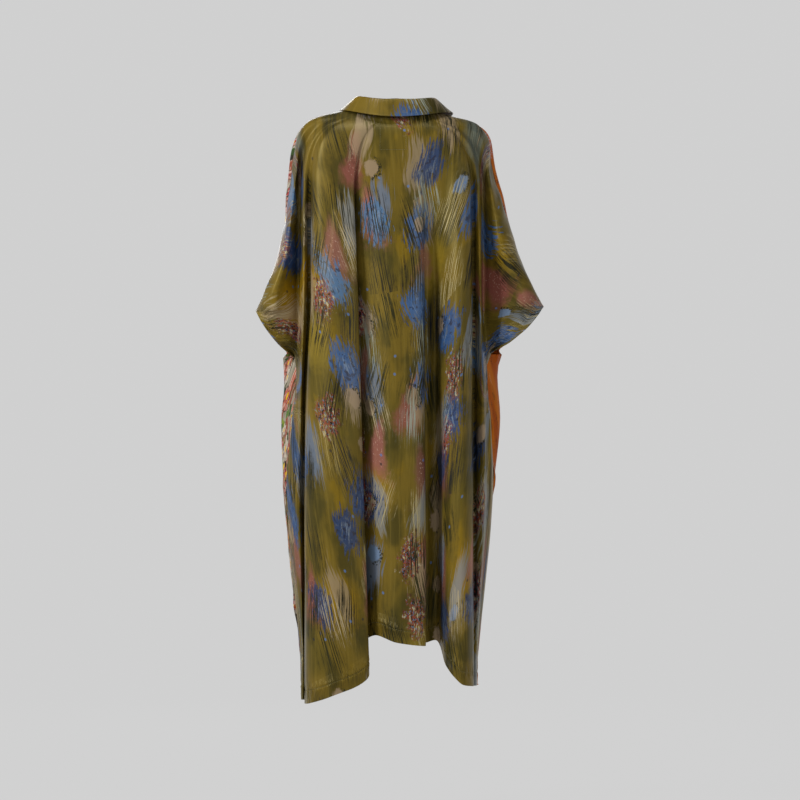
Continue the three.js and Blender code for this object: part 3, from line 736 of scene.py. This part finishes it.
def stitch_tree(thread):
    """Geometry Nodes: short thread loops set end to end along the edges of a line mesh."""
    tree = bpy.data.node_groups.new("stitch_rows", "GeometryNodeTree")
    tree.interface.new_socket("Geometry", in_out="INPUT", socket_type="NodeSocketGeometry")
    for name in ("Pitch", "Stitch Length", "Thread Radius"):
        tree.interface.new_socket(name, in_out="INPUT", socket_type="NodeSocketFloat")
    tree.interface.new_socket("Geometry", in_out="OUTPUT", socket_type="NodeSocketGeometry")
    lines = add(tree, "NodeGroupInput")
    pitch, length, radius = (lines.outputs[name] for name in ("Pitch", "Stitch Length", "Thread Radius"))
    curve = add(tree, "GeometryNodeMeshToCurve", {"Mesh": lines})
    spaced = add(tree, "GeometryNodeResampleCurve", {"Curve": curve, "Length": pitch}, mode="LENGTH")
    half = add(tree, "ShaderNodeMath", {0: length, 1: 0.5}, operation="MULTIPLY")
    bar = add(tree, "GeometryNodeMeshCylinder", {
        "Vertices": 6, "Side Segments": 2, "Radius": radius, "Depth": length})
    spot = add(tree, "GeometryNodeInputPosition")
    split = add(tree, "ShaderNodeSeparateXYZ", {0: spot})
    ratio = add(tree, "ShaderNodeMath", {0: split.outputs["Z"], 1: half}, operation="DIVIDE")
    square = add(tree, "ShaderNodeMath", {0: ratio, 1: ratio}, operation="MULTIPLY")
    sink = add(tree, "ShaderNodeMath", {0: square, 1: radius}, operation="MULTIPLY")
    drop = add(tree, "ShaderNodeCombineXYZ", {"X": sink})
    arched = add(tree, "GeometryNodeSetPosition", {"Geometry": bar, "Offset": drop})
    tangent = add(tree, "GeometryNodeInputTangent")
    turn = add(tree, "FunctionNodeAlignRotationToVector", {"Vector": tangent}, axis="Z")
    rows = add(tree, "GeometryNodeInstanceOnPoints", {"Points": spaced, "Instance": arched, "Rotation": turn})
    real = add(tree, "GeometryNodeRealizeInstances", {"Geometry": rows})
    smooth = add(tree, "GeometryNodeSetShadeSmooth", {"Geometry": real})
    dressed = add(tree, "GeometryNodeSetMaterial", {"Geometry": smooth, "Material": thread})
    add(tree, "NodeGroupOutput", {"Geometry": dressed})
    return tree


def stitch_rows(name, lines, tree):
    """One mesh of stitches along polylines, in millimetres."""
    points, edges = [], []
    for line in lines:
        start = len(points)
        points.extend((np.asarray(line) * MM).tolist())
        edges.extend((start + i, start + i + 1) for i in range(len(line) - 1))
    guide_mesh = bpy.data.meshes.new(name + "_guide")
    guide_mesh.from_pydata(points, edges, [])
    guide = bpy.data.objects.new(name + "_guide", guide_mesh)
    bpy.context.scene.collection.objects.link(guide)
    modifier = guide.modifiers.new("stitches", "NODES")
    modifier.node_group = tree
    sizes = {"Pitch": STITCH_PITCH, "Stitch Length": STITCH_LENGTH, "Thread Radius": THREAD_RADIUS}
    for item in tree.interface.items_tree:
        if item.item_type == "SOCKET" and item.in_out == "INPUT" and item.name in sizes:
            modifier[item.identifier] = sizes[item.name] * MM
    bpy.context.view_layer.update()
    evaluated = guide.evaluated_get(bpy.context.evaluated_depsgraph_get())
    mesh = bpy.data.meshes.new_from_object(evaluated)
    piece = bpy.data.objects.new(name, mesh)
    bpy.context.scene.collection.objects.link(piece)
    bpy.data.objects.remove(guide)
    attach(piece, "root")
    return piece


def line_at(part, key, distance):
    """Points of a panel at a set distance from its hem, one for each column, just off the cloth."""
    grid, measure = part["grid"], part[key]
    normals = normals_of(grid)
    picked = []
    for j in range(1, grid.shape[1] - 1):
        i = int(np.argmin(np.abs(measure[:, j] - distance)))
        i = min(max(i, 1), len(grid) - 2)
        other = i + 1 if measure[i, j] > distance else i - 1
        gap = measure[other, j] - measure[i, j]
        t = (distance - measure[i, j]) / gap if abs(gap) > 1e-6 else 0
        picked.append(mix(grid[i, j], grid[other, j], t) + normals[i, j] * THREAD_LIFT)
    return picked


def cuff_line(name, part, end):
    """The stitch line round one cuff on one panel."""
    grid, to_cuff = part["grid"], part["to_cuff"]
    normals = normals_of(grid)
    inward = 1 if end == 0 else -1
    picked = []
    for i in range(YOKE_ROWS - ROWS_ABOVE_CUFF, YOKE_ROWS + CUFF_ROWS):
        for step in range(CUFF_FOLDS[name] * COLUMNS[name] - 1):
            j, k = end + inward * step, end + inward * (step + 1)
            if to_cuff[i, j] <= CUFF_HEM < to_cuff[i, k]:
                t = (CUFF_HEM - to_cuff[i, j]) / (to_cuff[i, k] - to_cuff[i, j])
                picked.append(mix(grid[i, j], grid[i, k], t) + normals[i, j] * THREAD_LIFT)
                break
    return picked


def label_line(part):
    """The stitched rectangle at the back neck, laid on the cloth."""
    grid = part["grid"]
    normals = normals_of(grid)
    flat = grid[: YOKE_ROWS // 2].reshape(-1, 3)
    out = normals[: YOKE_ROWS // 2].reshape(-1, 3)
    corners = [("left", "top"), ("right", "top"), ("right", "bottom"), ("left", "bottom"), ("left", "top")]
    picked = []
    for (xa, za), (xb, zb) in zip(corners, corners[1:]):
        for t in np.linspace(0, 1, LABEL_POINTS, endpoint=False):
            x = mix(LABEL_STITCHES[xa], LABEL_STITCHES[xb], t)
            z = mix(LABEL_STITCHES[za], LABEL_STITCHES[zb], t)
            near = np.argsort((flat[:, 0] - x) ** 2 + (flat[:, 2] - z) ** 2)[:4]
            y = flat[near, 1].mean()
            picked.append(np.array([x, y, z]) + out[near[0]] * THREAD_RADIUS)
    return picked


# Materials


def linear(code):
    """An sRGB hex colour as linear red, green, blue and alpha."""
    parts = [int(code[i:i + 2], 16) / 255 for i in (1, 3, 5)]
    return (*(c / 12.92 if c <= 0.04045 else ((c + 0.055) / 1.055) ** 2.4 for c in parts), 1.0)


def add(tree, kind, inputs=None, **settings):
    """Add a node with its settings and inputs.

    An input is a value, a hex colour, another node's socket, or another node for its first output.
    """
    node = tree.nodes.new(kind)
    for key, value in settings.items():
        setattr(node, key, value)
    for key, value in (inputs or {}).items():
        if isinstance(value, bpy.types.Node):
            value = value.outputs[0]
        if isinstance(value, bpy.types.NodeSocket):
            tree.links.new(value, node.inputs[key])
        else:
            node.inputs[key].default_value = linear(value) if isinstance(value, str) else value
    return node


def new_material(name):
    material = bpy.data.materials.new(name)
    material.use_nodes = True
    material.node_tree.nodes.clear()
    return material, material.node_tree


def overlap(tree, *covers):
    """The share of the cloth where all covers meet."""
    shared = covers[0]
    for cover in covers[1:]:
        shared = add(tree, "ShaderNodeMath", {0: shared, 1: cover}, operation="MULTIPLY")
    return shared


def lay(tree, ground, paint, *covers):
    """A paint laid over a ground where all covers meet."""
    share = overlap(tree, *covers)
    return add(tree, "ShaderNodeMix", {0: share, 6: ground, 7: paint}, data_type="RGBA").outputs[2]


def band(tree, value, low, high):
    """0 below low and 1 above high, or the other way round when low is the larger."""
    return add(tree, "ShaderNodeMapRange", {
        "Value": value, "From Min": low, "From Max": high}, interpolation_type="SMOOTHSTEP")


def pushed(tree, value, noise, amount):
    """A value pushed up and down by a noise that lies around a half."""
    centred = add(tree, "ShaderNodeMath", {0: noise, 1: 0.5}, operation="SUBTRACT")
    return add(tree, "ShaderNodeMath", {0: centred, 1: amount, 2: value}, operation="MULTIPLY_ADD")


def grain(tree, place, across, down, seed, detail=2.0, rough=0.5):
    """Noise with so many waves a metre across and down the cloth."""
    spread = add(tree, "ShaderNodeMapping", {
        "Vector": place, "Scale": (across, down, 1), "Location": (seed, seed * 0.37, 0)})
    return add(tree, "ShaderNodeTexNoise", {
        "Vector": spread, "Scale": 1.0, "Detail": detail, "Roughness": rough}, noise_dimensions="2D")


def warped(tree, place, size, waves, seed):
    """Cloth coordinates pushed about by so many millimetres, as a hand-led brush does."""
    spread = add(tree, "ShaderNodeMapping", {"Vector": place, "Location": (seed, seed, 0)})
    noise = add(tree, "ShaderNodeTexNoise", {
        "Vector": spread, "Scale": waves, "Detail": 1.0}, noise_dimensions="2D").outputs[1]
    centred = add(tree, "ShaderNodeVectorMath", {0: noise, 1: (0.5, 0.5, 0.5)}, operation="SUBTRACT")
    scaled = add(tree, "ShaderNodeVectorMath", {0: centred, "Scale": size * MM}, operation="SCALE")
    return add(tree, "ShaderNodeVectorMath", {0: place, 1: scaled}, operation="ADD")


def strokes(tree, place, cell, reach, chance, seed, lean=0.3, taper=0.0):
    """Scattered brush marks, one at most in each cell, each turned by a random lean.

    Cell and reach are in millimetres across and down. Gives the distance from the mark's centre in
    parts of its reach, its random values, and its own place in metres for the bristles' lines.
    """
    cell_x, cell_y = cell[0] * MM, cell[1] * MM
    per_reach = (1 / (reach[0] * MM), 1 / (reach[1] * MM), 0)
    spread = add(tree, "ShaderNodeMapping", {
        "Vector": place, "Scale": (1 / cell_x, 1 / cell_y, 1), "Location": (seed, seed * 1.7, 0)})
    cells = add(tree, "ShaderNodeTexVoronoi", {"Vector": spread, "Scale": 1.0, "Randomness": 0.8},
                voronoi_dimensions="2D")
    local = add(tree, "ShaderNodeVectorMath", {0: spread, 1: cells.outputs["Position"]}, operation="SUBTRACT")
    metres = add(tree, "ShaderNodeVectorMath", {0: local, 1: (cell_x, cell_y, 0)}, operation="MULTIPLY")
    values = add(tree, "ShaderNodeSeparateColor", {0: cells.outputs["Color"]}).outputs
    turn = pushed(tree, 0.0, values[2], 2 * lean)
    turned = add(tree, "ShaderNodeVectorRotate", {"Vector": metres, "Angle": turn}, rotation_type="Z_AXIS")
    sized = add(tree, "ShaderNodeVectorMath", {0: turned, 1: per_reach}, operation="MULTIPLY")
    if taper:
        parts = add(tree, "ShaderNodeSeparateXYZ", {0: sized}).outputs
        swell = add(tree, "ShaderNodeMath", {0: parts[1], 1: taper, 2: 1.0}, operation="MULTIPLY_ADD")
        wide = add(tree, "ShaderNodeMath", {0: parts[0], 1: swell}, operation="MULTIPLY")
        sized = add(tree, "ShaderNodeCombineXYZ", {0: wide, 1: parts[1]})
    return {
        "away": add(tree, "ShaderNodeVectorMath", {0: sized}, operation="LENGTH").outputs["Value"],
        "sized": sized,
        "own": add(tree, "ShaderNodeVectorMath", {0: turned, 1: cells.outputs["Color"]}, operation="ADD"),
        "picked": add(tree, "ShaderNodeMath", {0: values[0], 1: chance}, operation="LESS_THAN"),
        "pick": values[1],
        "spin": values[2],
    }


def inside(tree, mark, soft, rough=None, amount=0.0, size=1.0):
    """The part of the cloth that a mark covers, with its edge softened and broken up."""
    away = mark["away"] if rough is None else pushed(tree, mark["away"], rough, amount)
    return overlap(tree, band(tree, away, size + soft, size - soft), mark["picked"])


def choose(tree, value, colours):
    """One of several colours by a random value."""
    ramp = add(tree, "ShaderNodeValToRGB", {0: value})
    ramp.color_ramp.interpolation = "CONSTANT"
    while len(ramp.color_ramp.elements) < len(colours):
        ramp.color_ramp.elements.new(0.5)
    for i, (stop, code) in enumerate(zip(ramp.color_ramp.elements, colours)):
        stop.position = i / len(colours)
        stop.color = linear(code)
    return ramp


def daubed(tree, ground, mark, paints, *covers, **edge):
    """Marks laid over a ground, where all covers meet too, each mark in one of several paints."""
    return lay(tree, ground, choose(tree, mark["pick"], paints), inside(tree, mark, **edge), *covers)


def satin(tree, colour, place, roughness):
    """Printed satin: its long floats give a broad soft sheen, and slubs and weave a faint grain.

    The weave is far finer than a pixel, so it is drawn in waves of 1 to 6 mm, to show at all.
    """
    slub = grain(tree, place, 900, 160, seed=3.0)
    weave = grain(tree, place, 420, 420, seed=9.0, rough=0.6)
    weave = add(tree, "ShaderNodeMath", {0: weave, 1: 0.6}, operation="MULTIPLY")
    relief = add(tree, "ShaderNodeMath", {0: slub, 1: 0.4, 2: weave}, operation="MULTIPLY_ADD")
    fine = add(tree, "ShaderNodeBump", {"Height": relief, "Strength": 0.16, "Distance": 0.6 * MM})
    drawn = add(tree, "ShaderNodeAttribute", attribute_name="near_hem").outputs["Fac"]
    pucker = overlap(tree, drawn, grain(tree, place, 105, 24, seed=14.0, rough=0.4))
    crease = add(tree, "ShaderNodeBump", {
        "Height": pucker, "Strength": 0.9, "Distance": 9 * MM, "Normal": fine})
    shader = add(tree, "ShaderNodeBsdfPrincipled", {
        "Base Color": colour, "Roughness": roughness, "Normal": crease,
        "Specular IOR Level": 0.36, "Specular Tint": "#dac787"})
    add(tree, "ShaderNodeOutputMaterial", {"Surface": shader})


def olive_print(name, shift):
    """Painterly satin: dry-brush marks, soft blurs, blots and scratched lines on an olive ground."""
    material, tree = new_material(name)
    cloth = add(tree, "ShaderNodeUVMap", uv_map="cloth")
    place = add(tree, "ShaderNodeMapping", {"Vector": cloth, "Location": shift})
    led = warped(tree, place, size=22, waves=9.0, seed=2.0)
    calm = warped(tree, place, size=9, waves=7.0, seed=4.0)
    cloud = grain(tree, place, 9, 6, seed=1.0, detail=3.0)
    deep = grain(tree, place, 15, 8, seed=5.0, detail=3.0)
    wash = grain(tree, calm, 150, 7, seed=12.0, detail=3.0, rough=0.6)
    mottle = grain(tree, led, 85, 60, seed=7.0, detail=4.0, rough=0.65)
    speck = grain(tree, led, 185, 78, seed=2.0, detail=2.5, rough=0.6)
    fleck = grain(tree, led, 300, 210, seed=8.0, rough=0.6)

    colour = lay(tree, "#524618", "#64521b", band(tree, cloud, 0.36, 0.62))
    for noise, low, high, share, code in (
        (deep, 0.50, 0.68, 0.8, "#363113"),
        (deep, 0.42, 0.28, 0.6, "#785f10"),
        (wash, 0.56, 0.66, 0.25, "#76642a"),
        (wash, 0.44, 0.34, 0.25, "#2f2a12"),
    ):
        colour = lay(tree, colour, code, band(tree, noise, low, high), share)

    # Soft blurs, rose comets with pale dots, and blue-grey smears
    haze = strokes(tree, led, cell=(170, 200), reach=(40, 52), chance=0.62, seed=3.0)
    colour = daubed(tree, colour, haze, ("#8c6c0a", "#2f2c14", "#7f6b22", "#5c655f", "#86680c"), 0.75,
                    soft=0.5, rough=mottle, amount=0.8)
    comet = strokes(tree, led, cell=(115, 235), reach=(18, 56), chance=0.52, seed=11.0, lean=0.25, taper=0.65)
    colour = daubed(tree, colour, comet, ("#7d4540", "#7a4e46", "#6b413a", "#86504a"), 0.82,
                    soft=0.38, rough=mottle, amount=0.8)
    dots = inside(tree, comet, soft=0.3, size=0.7)
    colour = lay(tree, colour, "#b99a8a", dots, band(tree, fleck, 0.66, 0.70), 0.7)
    smear = strokes(tree, led, cell=(100, 185), reach=(21, 54), chance=0.60, seed=27.0)
    drag = grain(tree, smear["own"], 260, 14, seed=4.0, detail=3.0, rough=0.6)
    colour = daubed(tree, colour, smear, ("#6d7680", "#85755e", "#777b7d", "#8b7960", "#596a81"), 0.72,
                    soft=0.25, rough=drag, amount=2.4)

    # Blots in dry brush, mostly blue, with light and dark drags in the paint
    patch = strokes(tree, led, cell=(118, 160), reach=(30, 43), chance=0.55, seed=6.0, lean=0.35)
    drag = grain(tree, patch["own"], 240, 24, seed=5.0, detail=4.0, rough=0.68)
    blot = choose(tree, patch["pick"], ("#1f3c68", "#244875", "#7c6e5b", "#1c355c", "#2f5482", "#436587"))
    for noise, low, high, share, code in (
        (drag, 0.56, 0.63, 0.6, "#77889a"),
        (mottle, 0.55, 0.64, 0.75, "#121a33"),
        (mottle, 0.44, 0.36, 0.6, "#4b5563"),
    ):
        blot = lay(tree, blot, code, band(tree, noise, low, high), share)
    colour = lay(tree, colour, blot, inside(tree, patch, soft=0.10, rough=drag, amount=3.0), 0.9)

    # Round blobs with a broken dark rim on one side
    blob = strokes(tree, led, cell=(98, 125), reach=(14.5, 18), chance=0.36, seed=16.0)
    colour = daubed(tree, colour, blob, ("#85725a", "#8e7b65", "#7d6c57", "#607590"), 0.9,
                    soft=0.14, rough=mottle, amount=1.1)
    beside = add(tree, "ShaderNodeSeparateXYZ", {0: blob["sized"]})
    colour = lay(
        tree, colour, "#171915", inside(tree, blob, soft=0.1, rough=mottle, amount=0.9, size=1.4),
        band(tree, blob["away"], 0.8, 0.95), band(tree, beside, 0.0, 0.4), band(tree, fleck, 0.50, 0.53))

    # Clusters of dabs in four paints
    cluster = strokes(tree, led, cell=(135, 190), reach=(20, 40), chance=0.46, seed=33.0, lean=0.2)
    cover = inside(tree, cluster, soft=0.3, rough=mottle, amount=2.4)
    for noise, low, high, code in (
        (speck, 0.44, 0.48, "#7c382f"),
        (speck, 0.56, 0.59, "#161815"),
        (speck, 0.40, 0.37, "#a39678"),
        (fleck, 0.60, 0.63, "#566478"),
    ):
        colour = lay(tree, colour, code, cover, band(tree, noise, low, high))

    # Dark brush lines, pale scratches and small drops
    brush = strokes(tree, calm, cell=(86, 145), reach=(26, 54), chance=0.74, seed=21.0, taper=0.35)
    line = grain(tree, brush["own"], 360, 7, seed=4.0, detail=3.0, rough=0.6)
    colour = daubed(tree, colour, brush, ("#181a13", "#1d1c16", "#151a21", "#202113"),
                    band(tree, line, 0.505, 0.53), soft=0.55, rough=mottle, amount=1.2)
    scratch = strokes(
        tree, calm, cell=(98, 155), reach=(26, 52), chance=0.60, seed=45.0, lean=0.35, taper=0.35)
    line = grain(tree, scratch["own"], 470, 7, seed=9.0, detail=3.0, rough=0.6)
    colour = daubed(tree, colour, scratch, ("#9d9068", "#858d82", "#a09274", "#8f7e4b"),
                    band(tree, line, 0.548, 0.57), 0.9, soft=0.5, rough=mottle, amount=1.2)
    drop = strokes(tree, place, cell=(31, 34), reach=(2.6, 3), chance=0.10, seed=52.0)
    colour = daubed(tree, colour, drop, ("#4c6d9c", "#191e2a", "#4c6d9c"), 0.7, soft=0.3)
    satin(tree, colour, cloth, roughness=0.36)
    return material


def blooms(tree, colour, place, cell, reach, chance, seed, petals, wobble):
    """Five-petalled flowers with a dark rim and a yellow heart, over a colour."""
    bloom = strokes(tree, place, (cell, cell), (reach, reach), chance, seed)
    parts = add(tree, "ShaderNodeSeparateXYZ", {0: bloom["sized"]}).outputs
    angle = add(tree, "ShaderNodeMath", {0: parts[1], 1: parts[0]}, operation="ARCTAN2")
    spin = add(tree, "ShaderNodeMath", {0: bloom["spin"], 1: 2 * math.pi}, operation="MULTIPLY")
    turned = add(tree, "ShaderNodeMath", {0: angle, 1: 5.0, 2: spin}, operation="MULTIPLY_ADD")
    wave = add(tree, "ShaderNodeMath", {0: turned}, operation="COSINE")
    edge = add(tree, "ShaderNodeMath", {0: wave, 1: 0.2, 2: 0.78}, operation="MULTIPLY_ADD")
    edge = pushed(tree, edge, wobble, 0.7)
    rim = add(tree, "ShaderNodeMath", {0: edge, 1: 0.12}, operation="ADD")
    petal = choose(tree, bloom["pick"], petals)
    petal = lay(tree, petal, "#b9afa0", band(tree, wobble, 0.46, 0.62), 0.6)
    petal = lay(tree, petal, "#7d1c22", band(tree, bloom["away"], 0.5, 0.15), 0.6)
    for limit, paint, share in ((rim, "#1e1c19", 0.9), (edge, petal, 1.0), (0.2, "#d0a81c", 1.0)):
        within = add(tree, "ShaderNodeMath", {0: bloom["away"], 1: limit}, operation="LESS_THAN")
        colour = lay(tree, colour, paint, within, bloom["picked"], share)
    return colour


def floral_print(name):
    """Satin with a loose flower print: coral, red and white blooms with green leaves."""
    material, tree = new_material(name)
    place = add(tree, "ShaderNodeUVMap", uv_map="cloth")
    led = warped(tree, place, size=12, waves=18.0, seed=4.0)
    wobble = grain(tree, led, 110, 90, seed=3.0, detail=3.0, rough=0.6)
    brush = grain(tree, led, 300, 70, seed=8.0)
    cloud = grain(tree, place, 26, 20, seed=2.0)
    colour = lay(tree, "#857e6e", "#7f3f2f", band(tree, cloud, 0.44, 0.55))
    colour = lay(tree, colour, "#a8a092", band(tree, brush, 0.55, 0.62), 0.7)
    for cell, reach, seed, greens in (
        ((26, 44), (7, 16), 5.0, ("#3f5c2c", "#27401f", "#6f7f30", "#1e1c19")),
        ((40, 27), (13, 6), 9.0, ("#4d6b32", "#1e1c19", "#c9a227", "#30502a")),
    ):
        leaf = strokes(tree, led, cell, reach, chance=0.75, seed=seed, lean=0.9)
        colour = daubed(tree, colour, leaf, greens, soft=0.1, rough=wobble, amount=0.9)
    for cell, reach, chance, seed, petals in (
        (62, 27, 0.75, 12.0, ("#8b1520", "#a24b39", "#aca292", "#982423")),
        (36, 13.5, 0.45, 17.0, ("#a24b39", "#b2a898", "#8b1520")),
    ):
        colour = blooms(tree, colour, led, cell, reach, chance, seed, petals, wobble)
    satin(tree, colour, place, roughness=0.44)
    return material


def orange_print(name):
    """Satin in rust orange with small dark curled marks and a few pale sprays."""
    material, tree = new_material(name)
    place = add(tree, "ShaderNodeUVMap", uv_map="cloth")
    led = warped(tree, place, size=10, waves=22.0, seed=6.0)
    cloud = grain(tree, place, 12, 7, seed=3.0)
    curl = grain(tree, led, 150, 120, seed=2.0)
    speck = grain(tree, led, 420, 300, seed=5.0)
    colour = lay(tree, "#933f00", "#aa5800", band(tree, cloud, 0.38, 0.62))
    curls = strokes(tree, led, cell=(34, 38), reach=(12.5, 14), chance=0.75, seed=4.0)
    line = add(tree, "ShaderNodeMath", {0: curl, 1: 0.5, 2: 0.03}, operation="COMPARE")
    colour = lay(tree, colour, "#431908", line, inside(tree, curls, soft=0.2), 0.85)
    spray = strokes(tree, led, cell=(110, 150), reach=(24, 32), chance=0.5, seed=13.0)
    colour = daubed(tree, colour, spray, ("#b79aa8", "#cbb3a0", "#8d6f86"),
                    band(tree, speck, 0.52, 0.56), 0.85, soft=0.4, rough=curl, amount=0.9)
    satin(tree, colour, place, roughness=0.46)
    return material


def thread_material(name):
    """Spun polyester thread in olive, a little duller than the satin, with its twist as a fine grain."""
    material, tree = new_material(name)
    place = add(tree, "ShaderNodeTexCoord").outputs["Object"]
    twist = add(tree, "ShaderNodeTexNoise", {"Vector": place, "Scale": 2500.0})
    colour = lay(tree, "#4d4820", "#6c6430", twist)
    shader = add(tree, "ShaderNodeBsdfPrincipled", {
        "Base Color": colour, "Roughness": 0.7, "Sheen Weight": 0.2})
    add(tree, "ShaderNodeOutputMaterial", {"Surface": shader})
    return material


# Studio


def pale_sweep():
    """A plain pale floor that curves up far from the garment into a wall all round.

    Matt paper, lit so evenly that the eye sees one flat pale grey with no shine.
    """
    floor_z, floor_radius, curve, height = -1.47, 11.0, 5.0, 6.5
    sides, bends = 96, 12
    profile = [(0.0, floor_z), (floor_radius, floor_z)]
    for i in range(1, bends + 1):
        turn = i / bends * math.pi / 2
        profile.append((floor_radius + curve * math.sin(turn), floor_z + curve * (1 - math.cos(turn))))
    profile.append((floor_radius + curve, height))
    points = [(0.0, 0.0, floor_z)]
    for radius, z in profile[1:]:
        for k in range(sides):
            turn = 2 * math.pi * k / sides
            points.append((radius * math.cos(turn), radius * math.sin(turn), z))
    faces = [(0, 1 + k, 1 + (k + 1) % sides) for k in range(sides)]
    for ring in range(len(profile) - 2):
        low, high = 1 + ring * sides, 1 + (ring + 1) * sides
        faces += [(low + k, high + k, high + (k + 1) % sides, low + (k + 1) % sides) for k in range(sides)]
    mesh = bpy.data.meshes.new("sweep")
    mesh.from_pydata(points, [], faces)
    mesh.polygons.foreach_set("use_smooth", np.ones(len(faces), bool))
    material, tree = new_material("pale_paper")
    shader = add(tree, "ShaderNodeBsdfPrincipled", {
        "Base Color": "#1a1a1a", "Roughness": 1.0, "Specular IOR Level": 0.0,
        "Emission Color": "#d1d1d1", "Emission Strength": 0.985})
    add(tree, "ShaderNodeOutputMaterial", {"Surface": shader})
    mesh.materials.append(material)
    sweep = bpy.data.objects.new("sweep", mesh)
    bpy.context.scene.collection.objects.link(sweep)


def softbox(name, place, aim, size, power):
    light = bpy.data.lights.new(name, "AREA")
    light.shape = "RECTANGLE"
    light.size, light.size_y = size
    light.energy = power
    lamp = bpy.data.objects.new(name, light)
    bpy.context.scene.collection.objects.link(lamp)
    lamp.location = place
    away = np.array(place) - np.array(aim)
    lamp.rotation_euler = (
        math.atan2(math.hypot(away[0], away[1]), away[2]), 0, math.atan2(away[1], away[0]) + math.pi / 2)


def studio():
    scene = bpy.context.scene
    scene.view_settings.view_transform = "Standard"
    pale_sweep()
    world = bpy.data.worlds.new("studio")
    scene.world = world
    world.use_nodes = True
    background = world.node_tree.nodes["Background"]
    background.inputs["Color"].default_value = linear("#ffffff")
    background.inputs["Strength"].default_value = 0.12
    aim = (0.0, 0.0, -0.42)
    softbox("key", place=(3.0, 2.4, 1.5), aim=aim, size=(0.9, 1.9), power=148)
    softbox("fill", place=(-2.6, 3.2, 0.4), aim=aim, size=(1.4, 1.8), power=22)
    softbox("front_key", place=(0.5, -3.4, 0.6), aim=aim, size=(1.4, 1.9), power=42)
    softbox("top", place=(0.4, 0.9, 2.6), aim=aim, size=(1.4, 0.8), power=34)


def photo_camera():
    """At the photograph's height and angle: level, square to the back."""
    photo_centre = (-0.0084, 0.03, -0.603)
    distance, photo_width, sensor = 10.5, 1.68, 36.0
    data = bpy.data.cameras.new("photo_camera")
    data.sensor_width = sensor
    data.lens = sensor * distance / photo_width
    data.clip_end = 60
    camera = bpy.data.objects.new("photo_camera", data)
    bpy.context.scene.collection.objects.link(camera)
    camera.location = (photo_centre[0], photo_centre[1] + distance, photo_centre[2])
    camera.rotation_euler = (math.pi / 2, 0, math.pi)
    bpy.context.scene.camera = camera


# The garment


def kaftan():
    materials = {
        "back": olive_print("olive_printed_satin", (0.0, 0.0, 0.0)),
        "left_front": floral_print("floral_printed_satin"),
        "right_front": orange_print("orange_printed_satin"),
        "collar": olive_print("collar_printed_satin", (2.35, 1.2, 0.0)),
    }
    sections = [whole_section(part, along) for part, along in section_list()]
    last_back = len(sections[-1]["back"]) - 1
    last_front = len(sections[-1]["right_front"]) - 1
    parts = {
        "back": panel("back", sections, BACK_CREASES, mirror=1, zero=last_back // 2, seed=11),
        "left_front": panel("left_front", sections, FRONT_CREASES, mirror=1, zero=0, seed=23),
        "right_front": panel("right_front", sections, FRONT_CREASES, mirror=-1, zero=last_front, seed=37),
    }
    pieces = {}
    for name, part in parts.items():
        part["uv"] = cloth_coordinates(part, SLEEVE_TURNS[name])
        pieces[name] = dressed_panel(name, part, materials[name])
    left, back, right = (parts[name]["grid"][0] for name in ("left_front", "back", "right_front"))
    pieces["collar"] = collar_shell(np.vstack([left, back[1:], right[1:]]), materials["collar"])
    for name, piece in pieces.items():
        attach(piece, "root")
        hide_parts(name)

    tree = stitch_tree(thread_material("olive_thread"))
    lines = {}
    for name, part in parts.items():
        hem = line_at(part, "to_hem", HEM_DEPTH)
        lines[name] = [hem, *(cuff_line(name, part, end) for end in CUFF_ENDS[name])]
    lines["back"].append(label_line(parts["back"]))
    stitches = {
        name: stitch_rows("stitches_" + name, rows, tree) for name, rows in lines.items()}


photo_camera()
studio()
kaftan()
